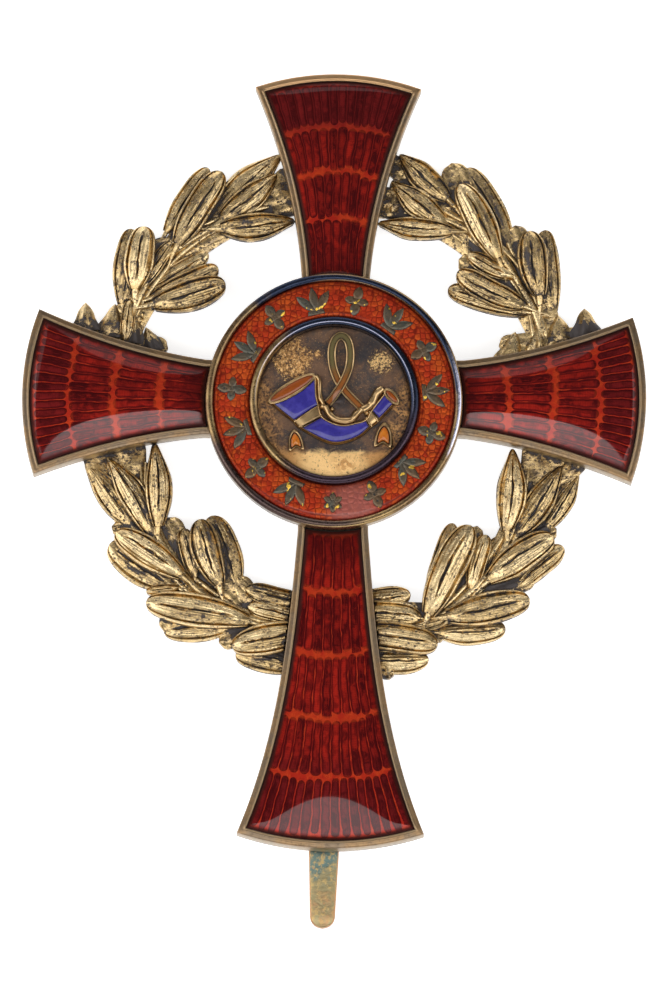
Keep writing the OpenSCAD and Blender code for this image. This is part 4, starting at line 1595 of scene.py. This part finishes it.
    def inlay(self, finish: Material) -> None:
        """Makes the brown enamel in the cord's groove.

        Args:
            finish: Its enamel.
        """
        half = self.cord_half * 0.62
        section = np.array(
            [(-half, -0.06), (half, -0.06), (half * 0.9, 0.055), (0, 0.075), (-half * 0.9, 0.055)]
        )
        shell = Shell()
        shell.tube(self.cord_path(), section, [1, 1, 0.4, 0, 0.4])
        shell.make("cord_inlay", finish, "orange_enamel")

    def tassels(self, gilt: Material, enamel: Material) -> None:
        """Makes the two tassels and their enamel.

        Args:
            gilt: Finish of the plates.
            enamel: Finish of the enamel.
        """
        base = LEVEL.horn_base
        plate = (
            (1, 0.22, 0.7), (0.96, 0.31, 0.3), (0.88, 0.35, 0.1), (0.76, 0.34, 0.3), (0.68, 0.24, 0.9),
            (0.62, 0.15, 1),
        )
        fill = ((1, 0.26, 0.9), (0.9, 0.31, 0.3), (0.6, 0.345, 0), (0.15, 0.36, 0))
        for side, middle, turn, size in (
            (Side.LEFT, (-3.05, -3.14), 8, 1), (Side.RIGHT, (4, -2.64), -4, 1.18)
        ):
            word = side.name.lower()
            for name, rows, scale, low, finish, slot, node in (
                ("plate", plate, 1, 0, gilt, "gilt", f"tassel_{word}"),
                ("fill", fill, 0.62, 0.15, enamel, "orange_enamel", f"tassel_enamel_{word}"),
            ):
                outline = turned(scale * size * smooth_path(self.tassel, 8, closed=True), turn, middle)
                shell = Shell()
                steps = [(share, base + z, value) for share, z, value in rows]
                shell.boss(outline, middle, steps, base + low)
                shell.make(f"tassel_{name}_{word}", finish, slot, node)


@dataclass(frozen=True)
class Leaf:
    """One laurel leaf: its base, tip, width and layer."""

    base: Spot
    tip: Spot
    width: float
    layer: Layer


@dataclass
class Branch:
    """One cast laurel branch of the wreath: a flat band, pads and the leaves that stand on them."""

    side: Side
    leaves: tuple[tuple[float | Layer, ...], ...]
    pads: tuple[Row, ...]
    stems: tuple[tuple[Spot, ...], ...]
    teeth: tuple[Row, ...]
    outline: tuple[Spot, ...] = (
        (0, 0.4), (0.14, 0.7), (0.32, 0.93), (0.52, 1), (0.7, 0.97), (0.84, 0.83), (0.94, 0.58),
        (0.985, 0.32), (1, 0.06),
    )
    strands: tuple[Triple, ...] = ((-0.5, 0.26, 0.72), (0.5, 0.24, 0.7), (0.02, 0.34, 0.84))
    fullness: float = 1.1
    stem_radius: float = 18.1
    stem_width: float = 2.4
    stem_middle_y: float = -1.0
    stem_height: float = 0.7
    pad_height: float = 0.85
    parting: float = 0.2
    along_steps: int = 50
    across_steps: int = 44
    arm_clearance: float = 0.06
    map_size: float = 44.0
    map_cell: float = 0.16
    map_reach: int = 5
    back: float = LEVEL.wreath_back

    def below_arms(self, points: Array) -> Array:
        """Presses the points that lie under an arm down below its back.

        Args:
            points: The points, which are changed.

        Returns:
            The same points.
        """
        low = np.minimum(points[..., 2], LEVEL.cross_back - self.arm_clearance)
        points[..., 2] = np.where(under_arms(points, self.arm_clearance), low, points[..., 2])
        return points

    def arm_shade(self, points: Array) -> Array:
        """Hollow value that darkens the wreath close beside the arms: painted shade of the arms."""
        return sum(0.13 * under_arms(points, grow) for grow in (0.2, 0.4, 0.7))

    def half_at(self, share: Array, leaf: Leaf) -> Array:
        """Half width of a leaf along its length; the tip is sharper beside an arm.

        Args:
            share: Places along the leaf, from 0 to 1.
            leaf: The leaf.

        Returns:
            The half width at each place.
        """
        table = smooth_path(self.outline, 6)
        taper = 1 - 0.55 * ease(share, 0.5, 1) * bool(under_arms(np.array(leaf.tip), 1.5))
        return self.fullness * leaf.width / 2 * np.interp(share, table[:, 0], table[:, 1]) * taper

    def leaf_surface(self, leaf: Leaf, rng: np.random.Generator) -> tuple[Array, Array, Array]:
        """Relief of one leaf: raised edge, groove, and two sloping lobes with a ragged slit between.

        Args:
            leaf: The leaf.
            rng: Source of its small irregularities.

        Returns:
            The grid of points, their hollow values and their guide.
        """
        length, turn = heading(leaf.base, leaf.tip)
        u = np.linspace(0, 1, self.along_steps + 1)
        u = 0.4 * u + 0.6 * (0.5 - 0.5 * np.cos(math.pi * u))
        u, v = np.meshgrid(u, np.linspace(-1, 1, self.across_steps + 1), indexing="ij")
        bend, swing, phase, uneven, shift, grime, tilt = rng.uniform(-1, 1, 7)
        wave = rng.uniform(0, FULL_TURN, 8)
        edge = np.abs(v)
        spine = 0.035 * length * bend * np.sin(math.pi * u)
        spine += 0.02 * leaf.width * swing * np.sin(2 * math.pi * u + phase)
        side = v * self.half_at(u, leaf) * (1 + 0.035 * np.sin(9 * u + wave[0]) * edge)
        own = pairs(u * length, spine + side)

        a = np.abs(v - 0.07 * shift - 0.035 * np.sin(8 * u + wave[1]) - 0.02 * np.sin(21 * u + wave[2]))
        start = 0.12 + 0.06 * uneven
        middle = ease(u, start, start + 0.14) * ease(u, 0.93, 0.8)
        slit = 0.034 + 0.025 * np.sin(13 * u + wave[3]) + 0.02 * np.sin(29 * u + wave[4])
        cleft = middle * ease(a, slit + 0.055, slit * 0.4)
        roof = 1 - (0.5 + 0.16 * tilt * np.sign(v)) * (a / 0.74) ** 1.7
        roof += 0.05 * np.sin(23 * v + 2 * u + wave[5]) * middle
        roof += 0.05 * np.sin(17 * u + 3 * v + wave[6]) * np.sin(7 * v + wave[7])
        lobes = roof * ease(edge, 0.8, 0.7) + 0.22 * ease(edge, 0.7, 0.8)
        lip = np.sqrt(np.clip(1 - ((edge - 0.905) / 0.115) ** 2, 0, 1)) ** 0.8
        swell = np.clip(np.sin(math.pi * np.clip(u * 0.94 + 0.05, 0, 1)), 0, 1) ** 0.45
        crest = 0.46 * (lobes - 0.48 * cleft) + 0.34 * lip
        relief = 0.5 * (1 - 0.3 * edge**7) + crest * (0.35 + 0.65 * swell)
        relief += 0.06 * tilt * v - 0.12 * ease(u, 0.82, 1)
        z = self.back + leaf.layer.lift + np.maximum(relief * leaf.layer.crest, 0.12)

        groove = np.exp(-((edge - 0.775) / 0.05) ** 2) * (0.42 + 0.2 * np.sin(6 * u + wave[3]))
        spot = np.exp(-(((v - 0.38 * np.sign(shift)) / 0.22) ** 2) - ((u - 0.5 - 0.2 * bend) / 0.26) ** 2)
        hollow = 0.62 * cleft + 0.5 * spot * ease(np.abs(swing), 0.35, 0.8) + groove
        hollow += 0.5 * ease(edge, 0.965, 1) + 0.3 * ease(u, 0.12, 0)
        hollow += 0.1 * np.sin(11 * u + 5 * phase) * np.cos(4 * v + phase) - 0.14 * lip
        guide = lifted(own + 3 * np.array(leaf.base), 0.5 + 0.5 * grime)
        return lifted(turned(own, turn, leaf.base), z), np.clip(hollow, -0.3, 1), guide

    def shadowed(self, grids: list[Array]) -> list[Array]:
        """Finds how deep each surface point lies between its higher neighbours; the depth darkens it as
        painted shade.

        Args:
            grids: The surfaces of the branch.

        Returns:
            For each surface, the depth below its surroundings as a value from 0 to 1.
        """
        count = int(self.map_size * 2 / self.map_cell)
        heights = np.full((count, count), self.back)
        spots = [((grid[..., :2] + self.map_size) / self.map_cell).astype(int) for grid in grids]
        places = [tuple(np.moveaxis(np.clip(spot, 0, count - 1), -1, 0)) for spot in spots]
        for grid, place in zip(grids, places):
            np.maximum.at(heights, place, grid[..., 2])
        around = range(-self.map_reach, self.map_reach + 1)
        mean = sum(np.roll(heights, (dx, dy), (0, 1)) for dx in around for dy in around) / len(around) ** 2
        deep = [mean[place] - grid[..., 2] for grid, place in zip(grids, places)]
        return [np.clip((depth + 0.02) / 0.5, 0, 1) for depth in deep]

    def tooth_surface(self, row: Row) -> tuple[Array, Array]:
        """Relief of a pointed tooth that stands above the edge of an arm.

        Args:
            row: Base x and y, tip x and y, width and grime.

        Returns:
            The grid of points, and their hollow values.
        """
        x0, y0, x1, y1, width, grime = row
        length, turn = heading((x0, y0), (x1, y1))
        u, v = np.meshgrid(np.linspace(0, 1, 25), np.linspace(-1, 1, 19), indexing="ij")
        half = width / 2 * np.maximum(1 - 0.8 * u**1.1, 0) * np.sqrt(np.clip(1 - u**8, 0.02, 1))
        half *= 1 + 0.07 * np.sin(9 * u + 5 * x0)
        ridge = 1 - 0.55 * np.abs(v) ** 1.4 + 0.12 * np.cos(7 * v + 4 * y0) * (1 - u)
        z = self.back + 0.35 + ridge * (0.75 + 0.25 * np.sin(math.pi * np.minimum(u + 0.2, 1)))
        ragged = 0.1 * np.sin(9 * v + 3 * x0) + 0.06 * np.sin(23 * v + y0)
        hollow = 1.1 * ease(u + ragged, 0.58, 0.34) * min(1, 2.5 * grime + 0.12) + 0.3 * grime
        return lifted(turned(pairs(u * length, v * half), turn, (x0, y0)), z), np.clip(hollow, 0, 1)

    def pad_surface(self, row: Row) -> Array:
        """Top of a flat pad between leaves.

        Args:
            row: Its ends and width.

        Returns:
            The grid of points.
        """
        x0, y0, x1, y1, width = row
        length, turn = heading((x0, y0), (x1, y1))
        half = width / 2
        u = np.linspace(-half, length + half, max(14, int((length + width) / 0.22)))[:, None]
        v = np.linspace(-1, 1, max(9, int(width / 0.2)))
        past = np.maximum(np.maximum(-u, u - length), 0)
        wide = np.maximum(np.sqrt(np.maximum(half**2 - past**2, 0)), 0.02)
        flat = turned(pairs(u, v * wide), turn, (x0, y0))
        dent = 0.05 * np.sin(flat[..., 0] * 3.1) * np.cos(flat[..., 1] * 2.7) + 0.05 * np.cos(v * 8)
        return lifted(flat, self.back + self.pad_height - 0.1 * np.abs(v) ** 4 - 0.06 + dent)

    def stem_surface(self) -> Array:
        """Top of the flat band under the leaves.

        Returns:
            The grid of points.
        """
        low = self.parting - 90 * self.side.value
        angle = np.radians(np.linspace(low, low + 180 - 2 * self.parting, 150))[:, None]
        across = np.linspace(-1, 1, 11)
        r = self.stem_radius + across * self.stem_width / 2
        flat = pairs(np.cos(angle) * r, np.sin(angle) * r + self.stem_middle_y)
        return lifted(flat, self.back + self.stem_height - 0.12 * np.abs(across) ** 4)

    def build(self, finish: Material) -> None:
        """Makes the branch.

        Args:
            finish: Its pale gilding.
        """
        rng = np.random.default_rng(20 + self.side.value)
        shell, back = Shell(), self.back
        low = [self.stem_surface(), *[self.pad_surface(row) for row in self.pads]]
        leaves = [Leaf(row[:2], row[2:4], *row[4:]) for row in self.leaves]
        surfaces = [self.leaf_surface(leaf, rng) for leaf in leaves]
        # Depth below the neighbours and nearness to the arms raise the hollow value: painted shade between
        # leaves and pads and beside the arms, on top of the leaves' own patina.
        shade = self.shadowed(low + [grid for grid, _, _ in surfaces])
        for grid, depth in zip(low, shade):
            value = np.clip(0.18 + 0.8 * depth + self.arm_shade(grid), 0, 1)
            shell.slab(self.below_arms(grid), back, value, 0.4)
        for route in self.stems:
            self.add_stem(shell, route)
        for row in self.teeth:
            grid, value = self.tooth_surface(row)
            shell.slab(self.below_arms(grid), back, value)
        for leaf, (grid, hollow, guide), depth in zip(leaves, surfaces, shade[len(low):]):
            value = np.clip(hollow + 0.5 * depth + self.arm_shade(grid), -0.3, 1)
            shell.slab(self.below_arms(grid), back + leaf.layer.lift, value, 0.75, guide)
            self.add_supports(shell, leaf)
        name = self.side.name.lower()
        shell.make(f"laurel_{name}", finish, "pale_gilt", f"wreath_{name}", sharp=55)

    def add_stem(self, shell: Shell, route: tuple[Spot, ...]) -> None:
        """Adds the strands of the stem that runs between the leaves.

        Args:
            shell: The shell to add it to.
            route: Flat points of the stem.
        """
        steps = 12
        flat = smooth_path(route, steps)
        left = directions(flat)[:, ::-1] * [-1, 1]
        run = np.arange(len(flat)) / steps
        ends = 0.35 + 0.65 * np.minimum(ease(run, 0, 0.5), ease(run, run[-1], run[-1] - 0.5))
        for k, (shift, size, rise) in enumerate(self.strands):
            line = flat + left * (shift + 0.12 * np.sin(2.3 * run + 2 * k))[:, None]
            path = self.below_arms(lifted(line, self.back + rise))
            shell.cable(path, size * ends * (1 + 0.15 * np.sin(5.1 * run + k)), sides=12)

    def add_supports(self, shell: Shell, leaf: Leaf) -> None:
        """Adds the ridge from a leaf's base down to the stem, and the low web that carries the leaf.

        Args:
            shell: The shell to add them to.
            leaf: The leaf.
        """
        length, turn = heading(leaf.base, leaf.tip)
        lift = leaf.layer.lift
        if length >= 4:
            x = np.linspace(-min(0.34 * length, 1.9), 0.14 * length, 14)
            share = (x - x[0]) / (x[-1] - x[0])
            hub = np.array([0, self.stem_middle_y])
            far = float(np.linalg.norm(leaf.base - hub))
            inward = (hub - leaf.base) / far * (0.35 if far > self.stem_radius else -0.35)
            flat = turned(pairs(x, 0), turn, leaf.base) + inward * ((1 - share) ** 2)[:, None]
            foot, top = 0.75, lift + 0.42 * leaf.layer.crest
            z = self.back + (top + foot) / 2 + (top - foot) / 2 * share
            size = 0.13 * leaf.width * (0.35 + 0.65 * ease(share, 0, 0.7))
            shell.cable(self.below_arms(lifted(flat, z)), size, sides=12)
        share = np.linspace(0.02, 0.97, 16)[:, None]
        half = 0.88 * self.half_at(share, leaf)
        own = pairs(share * length, half * np.linspace(-1, 1, 3))
        web = self.below_arms(lifted(turned(own, turn, leaf.base), self.back + lift + 0.1))
        shell.slab(web, self.back, 0.5, 0.6)


BACK, MID, TOP = Layer
LEFT_BRANCH = Branch(
    side=Side.LEFT,
    leaves=(
        (-17, 8.2, -16.4, 14.3, 2, BACK), (-16, 9.3, -15.3, 14.4, 2.2, TOP),
        (-15.8, 9.3, -13.1, 13.2, 1.2, MID), (-15.9, 8.9, -10.2, 12.4, 1.6, BACK),
        (-14.6, 8.7, -9.4, 11.2, 1.8, MID), (-14.5, 8.1, -8.8, 9.9, 2.3, TOP),
        (-13.6, 14.1, -10.3, 19.3, 1.5, BACK), (-12.7, 13, -9.2, 18.9, 2.1, TOP),
        (-10.2, 14.6, -4.5, 20.4, 2.6, BACK), (-9.2, 15.1, -4.8, 18.8, 2.1, MID),
        (-9.2, 14.3, -3.3, 15, 2.1, TOP), (-16.8, 5.1, -16.4, 8.5, 1.1, MID),
        (-13.9, -9.8, -14.3, -3, 2, TOP), (-14.2, -10.5, -18, -4.3, 2.1, MID),
        (-16, -9.8, -19.8, -4.7, 2, BACK), (-12, -13.7, -17.3, -10.3, 2.2, TOP),
        (-12.5, -14.6, -17.8, -11.2, 2.6, BACK), (-12.2, -14.7, -14.8, -15, 0.8, MID),
        (-10.9, -13.8, -11.9, -9.9, 1.4, MID), (-11.4, -13.9, -12.6, -9.8, 1.7, BACK),
        (-9, -14.4, -10.7, -9.2, 2.2, TOP), (-7.6, -14.5, -9.7, -8.8, 2.2, BACK),
        (-6.6, -17.3, -14.8, -15.9, 2.4, TOP), (-7.8, -17.5, -13.4, -18, 2.3, BACK),
        (-1.8, -15.7, -6.9, -14.75, 1.6, MID), (-1.6, -17.3, -6.7, -16.1, 1.6, MID),
        (-1.6, -17.9, -7.9, -19.35, 2.3, TOP), (-2.4, -20.8, -7.6, -19.8, 2.2, BACK),
    ),
    pads=(
        (-7.8, 15.9, -3.4, 17.2, 2.5), (-14.3, 12.1, -9.3, 14.5, 2), (-16.2, 9.9, -13.8, 12.3, 2.7),
        (-19.3, 5.8, -14.1, 4.8, 1.6), (-17, 7.7, -15.9, 7.2, 1.3), (-16.4, -7.9, -16.5, -3.7, 3.1),
        (-18.6, -6, -19.2, -4.2, 1.6), (-13.7, -10.6, -17.1, -9.9, 1.1), (-10.8, -14, -12.8, -9.9, 2),
        (-5.2, -16.7, -8.8, -13.7, 2.3), (-5.4, -17.7, -8.2, -18.7, 1.6), (-13.9, -10, -10.4, -14.8, 2),
        (-6.4, -15.3, -7.1, -14.4, 1.6), (-12.6, -16.9, -12.9, -17.4, 1.7), (-13.6, 12.5, -12.7, 13.7, 1.3),
        (-5.4, 17.2, -4.2, 18.6, 1.5), (-3, -17.6, -5, -17.4, 4.2),
    ),
    stems=(
        ((-17.2, 5.2), (-15.7, 8.6), (-13.9, 11.6), (-11.3, 13.7), (-8.3, 15.2), (-5.4, 16.1)),
        ((-14.9, -4.6), (-14.4, -9.6), (-12, -13.6), (-8.6, -16.2), (-5.4, -17.4), (-3.6, -17.9)),
    ),
    teeth=(
        (-19.9, 6, -19.95, 8.25, 2.5, 0.15), (-17.9, 5.5, -17.6, 8.15, 2.8, 0.15),
        (-16.1, 5, -15.9, 7.1, 2.2, 0.3), (-14.4, 4.3, -15.1, 6.3, 2.2, 0.45),
    ),
)
RIGHT_BRANCH = Branch(
    side=Side.RIGHT,
    leaves=(
        (8.9, 17, 5, 20.5, 2.1, MID), (8.8, 14.8, 4.4, 18.3, 2.1, MID), (9.2, 14.3, 3.3, 14.9, 1.7, TOP),
        (13.9, 13.3, 10.3, 19.5, 2.2, BACK), (13, 12.2, 9.8, 18.1, 2.2, TOP),
        (14.2, 10.7, 10.5, 12.5, 1.4, MID), (15.1, 8.3, 9.7, 11, 1.9, TOP), (15.3, 7.9, 9, 9.7, 1.9, MID),
        (16.3, 9.2, 15.4, 14.4, 2.2, TOP), (17.4, 8.1, 16.7, 14.6, 1.9, BACK),
        (13.9, -9.8, 14.3, -3.2, 2.2, TOP), (14.7, -10.1, 18.2, -4.5, 2.2, MID),
        (17, -9.5, 19.6, -5.1, 1.5, BACK), (7.7, -16.6, 11, -9.4, 2.5, TOP),
        (7.8, -15.8, 9.6, -9.2, 1.6, MID), (11.1, -14.5, 12.3, -10.1, 1.5, MID),
        (12.3, -14.2, 13.3, -10.2, 1.5, BACK), (9.2, -16.8, 15.8, -15.3, 2.3, TOP),
        (8.5, -18, 13.9, -17.6, 1.8, BACK), (12.5, -13.8, 17.6, -10.2, 2.3, TOP),
        (14.7, -14.3, 18.4, -10.9, 1.7, BACK), (1.4, -15.6, 6.3, -14.95, 1.7, BACK),
        (1.5, -16.5, 7.2, -16.9, 2, MID), (1.8, -18.3, 8.5, -19, 2.2, TOP),
        (2, -20.35, 7.8, -20.15, 1.8, BACK), (6, -17.8, 9.2, -16.9, 0.8, MID),
    ),
    pads=(
        (8, 16.4, 3.5, 16.7, 2.5), (7.1, 17.7, 4.5, 19.7, 1.7), (11.3, 13.2, 9.5, 18.8, 2.3),
        (14.1, 10.4, 10.6, 11.8, 1.7), (15.6, 10, 14.5, 14.1, 1.7), (16.7, 6.6, 15.7, 10.4, 2.8),
        (13.9, 5.3, 19.3, 6, 1.6), (9.6, 14.5, 11.4, 13.2, 1.3), (16.4, -7, 16.7, -3.3, 3.3),
        (17.9, -5.9, 19.5, -4.2, 1.5), (10.3, -14.8, 11.4, -10, 1.3), (4.8, -16.3, 8, -16.4, 1.6),
        (6, -17.9, 8.6, -18.3, 0.9), (13.2, -12.8, 14.6, -9.7, 2.5), (14.2, -11.3, 17.3, -9.8, 1.3),
        (9.1, -16.2, 15.4, -13.7, 1.6), (4.2, -20.2, 4.5, -21.2, 1.2), (4.5, 16.4, 4.9, 18, 1.3),
        (3, -17.6, 5, -17.6, 4.2),
    ),
    stems=(
        ((16.6, 5.2), (15.8, 8.2), (14.3, 11), (12.1, 13.4), (9, 15.3), (5.6, 16.4)),
        ((15, -4.6), (14.3, -9.6), (11.9, -13.7), (8.6, -16.8), (5.6, -17.9), (3.6, -18.2)),
    ),
    teeth=(
        (20.1, 6, 19.9, 8.25, 2.8, 0.6), (18, 5.3, 17.8, 7.7, 2.8, 0.12),
        (16.4, 4.8, 16.25, 6.9, 2.3, 0), (14, 4, 14.4, 6.3, 2.6, 0),
    ),
)


@dataclass
class Pin:
    """The flat pin behind the cross: its blade with a round end, and the foot and post that carry it."""

    top_y: float = 9.0
    tip_y: float = -41.7
    bend_y: float = -35.5
    blade_width: float = 2.4
    tip_width: float = 2.0
    thickness: float = 0.8
    lean: float = 0.6
    bevel: float = 0.12
    corner: float = 0.35
    foot_half: float = 3.5
    foot_length: float = 6.0
    post_half: float = 1.8
    post_length: float = 4.0
    gap: float = 0.03

    def half_at(self, y: Array) -> Array:
        """Half width of the blade at places along it, with its round end.

        Args:
            y: Places along the blade.

        Returns:
            The half width at each.
        """
        narrow = self.tip_width / 2
        straight = self.tip_y + narrow
        flank = np.interp(y, [straight, self.bend_y], [narrow, self.blade_width / 2])
        return np.where(y < straight, np.sqrt(np.maximum(narrow**2 - (straight - y) ** 2, 0)), flank)

    def build(self, finish: Material) -> None:
        """Makes the pin.

        Args:
            finish: Its tarnished gilding.
        """
        shell = Shell()
        b, t = self.bevel, self.thickness
        end = self.tip_y + self.tip_width / 2 * (1 - np.cos(np.linspace(0.12, math.pi / 2, 16)))
        y = np.concatenate([end, np.linspace(end[-1], self.top_y, 90)[1:]])
        low = [(-1, -b, 0), (-1, 0, b), (-1, 0, t - b), (-1, -b * 0.35, t - b * 0.35), (-1, -b, t)]
        sign, inset, z = np.array([*low, *[(1, grow, z) for _, grow, z in reversed(low)]]).T
        across = sign * np.maximum(self.half_at(y)[:, None] + inset, 0.05)
        flat = pairs(across, y[:, None])
        edge = np.array([0.2, 0.1, 0.1, 0, 0.6, 0.6, 0, 0.1, 0.1, 0.2])
        hollow = edge + 0.3 * ease(y, self.tip_y + 2, self.tip_y + 3.5)[:, None]
        shell.loft(lifted(turned(flat, -self.lean), z), hollow)
        self.block(shell, self.foot_half, self.top_y - self.foot_length, self.top_y, t)
        middle = self.top_y - self.foot_length / 2
        ends = middle - self.post_length / 2, middle + self.post_length / 2
        self.block(shell, self.post_half, *ends, LEVEL.cross_back - self.gap)
        shell.make("pin_blade", finish, "tarnished_gilt", "pin")

    def block(self, shell: Shell, half: float, low: float, high: float, top: float) -> None:
        """Adds a block with bevelled corners and edges.

        Args:
            shell: The shell to add it to.
            half: Half of its width.
            low: Its lower end along the pin.
            high: Its upper end along the pin.
            top: Height of its top.
        """
        r, b, rings = self.corner, self.bevel, []
        for inset, z in ((b, 0), (0, b), (0, top - b), (b, top)):
            ring = []
            for k, (x, y) in enumerate(((half, high), (-half, high), (-half, low), (half, low))):
                hub = np.array([x - math.copysign(r, x), y - (r if y == high else -r)])
                a = np.radians(90 * k + 22.5 * np.arange(5))
                ring += list(hub + (r - inset) * pairs(np.cos(a), np.sin(a)))
            rings.append(lifted(turned(np.array(ring), -self.lean), z))
        shell.loft(np.array(rings), 0.5)


@dataclass(frozen=True)
class Panel:
    """A soft rectangular light that faces the medallion."""

    name: str
    place: Triple
    size: Spot
    glow: float


@dataclass
class Studio:
    """The camera at the photograph's angle, the pale floor and the soft lights."""

    tilt: float = 8.0
    roll: float = 0.7
    distance: float = 1.9926
    lens: float = 900.0
    sensor: float = 36.0
    clip: Spot = (0.1, 20)
    aim: Triple = (-0.008, -7.944, 6.2)
    floor_size: float = 3.2
    sky: float = 0.045
    horizon: float = 0.85
    panels: tuple[Panel, ...] = (
        Panel("light_front", (0, -0.091, 0.3), (0.62, 0.165), 1.9),
        Panel("light_back", (-0.08, 0.155, 0.3), (0.4, 0.12), 0.4),
        Panel("light_left", (-0.45, 0, 0.2), (0.3, 0.6), 1.6),
        Panel("light_right", (0.45, 0, 0.2), (0.3, 0.6), 1.2),
        Panel("light_low_front", (0, -0.5, 0.16), (0.7, 0.26), 1.6),
        Panel("light_low_back", (0, 0.5, 0.18), (0.7, 0.26), 1.6),
    )

    def camera(self) -> None:
        """Makes the camera, square to the tilted face and turned by the roll."""
        tilt, roll = math.radians(self.tilt), math.radians(self.roll)
        x_axis, y_axis = Vector((1, 0, 0)), Vector((0, math.cos(tilt), math.sin(tilt)))
        right = x_axis * math.cos(roll) + y_axis * math.sin(roll)
        up = y_axis * math.cos(roll) - x_axis * math.sin(roll)
        back = right.cross(up)
        aim_right, aim_up, aim_z = self.aim
        target = (Vector((0, 0, aim_z)) + right * aim_right + up * aim_up) * MM
        lens = bpy.data.cameras.new("camera")
        lens.sensor_fit = "VERTICAL"
        lens.sensor_height = self.sensor
        lens.lens = self.lens
        lens.clip_start, lens.clip_end = self.clip
        camera = bpy.data.objects.new("camera", lens)
        turn = Matrix((right, up, back)).transposed()
        camera.matrix_world = Matrix.Translation(target + back * self.distance) @ turn.to_4x4()
        bpy.context.scene.collection.objects.link(camera)
        bpy.context.scene.camera = camera

    def light(self, panel: Panel) -> None:
        """Hangs one light.

        Args:
            panel: The light's place, size and glow.
        """
        lamp = bpy.data.lights.new(panel.name, "AREA")
        lamp.shape = "RECTANGLE"
        lamp.size, lamp.size_y = panel.size
        lamp.energy = 4 * panel.size[0] * panel.size[1] * panel.glow
        light = bpy.data.objects.new(panel.name, lamp)
        light.location = panel.place
        light.rotation_euler = Vector(panel.place).to_track_quat("Z", "Y").to_euler()
        light.visible_camera = False
        bpy.context.scene.collection.objects.link(light)

    def floor(self) -> None:
        """Lays the pale floor."""
        half = self.floor_size / 2
        mesh = bpy.data.meshes.new("paper_floor")
        mesh.from_pydata(
            [(-half, -half, 0), (half, -half, 0), (half, half, 0), (-half, half, 0)], [], [[0, 1, 2, 3]]
        )
        mesh.materials.append(PaperFinish("white_paper").material())
        floor = bpy.data.objects.new("paper_floor", mesh)
        bpy.context.scene.collection.objects.link(floor)

    def build(self) -> None:
        """Sets up the camera, the floor, the sky with its pale horizon, and the lights."""
        self.camera()
        self.floor()
        world = bpy.data.worlds.new("soft_sky")
        world.use_nodes = True
        nodes, links = world.node_tree.nodes, world.node_tree.links
        way = nodes.new("ShaderNodeTexCoord")
        parts = nodes.new("ShaderNodeSeparateXYZ")
        fade = nodes.new("ShaderNodeMapRange")
        for index, value in enumerate((0.03, 0.1, self.horizon, self.sky), start=1):
            fade.inputs[index].default_value = value
        links.new(way.outputs["Generated"], parts.inputs[0])
        links.new(parts.outputs["Z"], fade.inputs[0])
        links.new(fade.outputs[0], nodes["Background"].inputs["Color"])
        bpy.context.scene.world = world
        for panel in self.panels:
            self.light(panel)
        bpy.context.scene.view_settings.view_transform = "Standard"


def main() -> None:
    """Builds every sub-assembly of the cross in order, dresses it and sets up the studio."""
    logging.basicConfig(level=logging.INFO, format="%(name)s %(message)s")
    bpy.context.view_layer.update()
    Studio().build()

    CrossFrame().build(ArmGilding("arm_gilding").material())
    rods = RodEnamel("red_rod_enamel").material()
    for name, arm in ARMS.items():
        EnamelField(f"enamel_{name}", arm).build(rods)

    medallion = Medallion()
    medallion.rims(RingGilding("medallion_gilding").material())
    medallion.ornaments(ORNAMENT_METAL.material())
    medallion.band(BandEnamel("band_scales").material())
    medallion.disc(DiscFinish("disc_gilding").material())

    horn = Horn()
    gilt, blue, orange = HORN_GILT.material(), BLUE_ENAMEL.material(), ORANGE_ENAMEL.material()
    horn.metal(gilt)
    horn.inlay(CORD_ENAMEL.material())
    horn.cell("bell", (0.02, 1.96), blue)
    horn.cell("belly", (3.08, 6.92), blue)
    horn.cell("neck", (8.06, 8.96), blue)
    horn.mouth("bell_mouth", horn.bell_mouth, orange)
    horn.mouth("mouthpiece", horn.mouthpiece, orange)
    horn.tassels(gilt, TASSEL_ENAMEL.material())

    laurel = LaurelGilding("laurel_gilding").material()
    LEFT_BRANCH.build(laurel)
    RIGHT_BRANCH.build(laurel)
    Pin().build(PinFinish("pin_gilding").material())


if __name__ == "__main__":
    main()
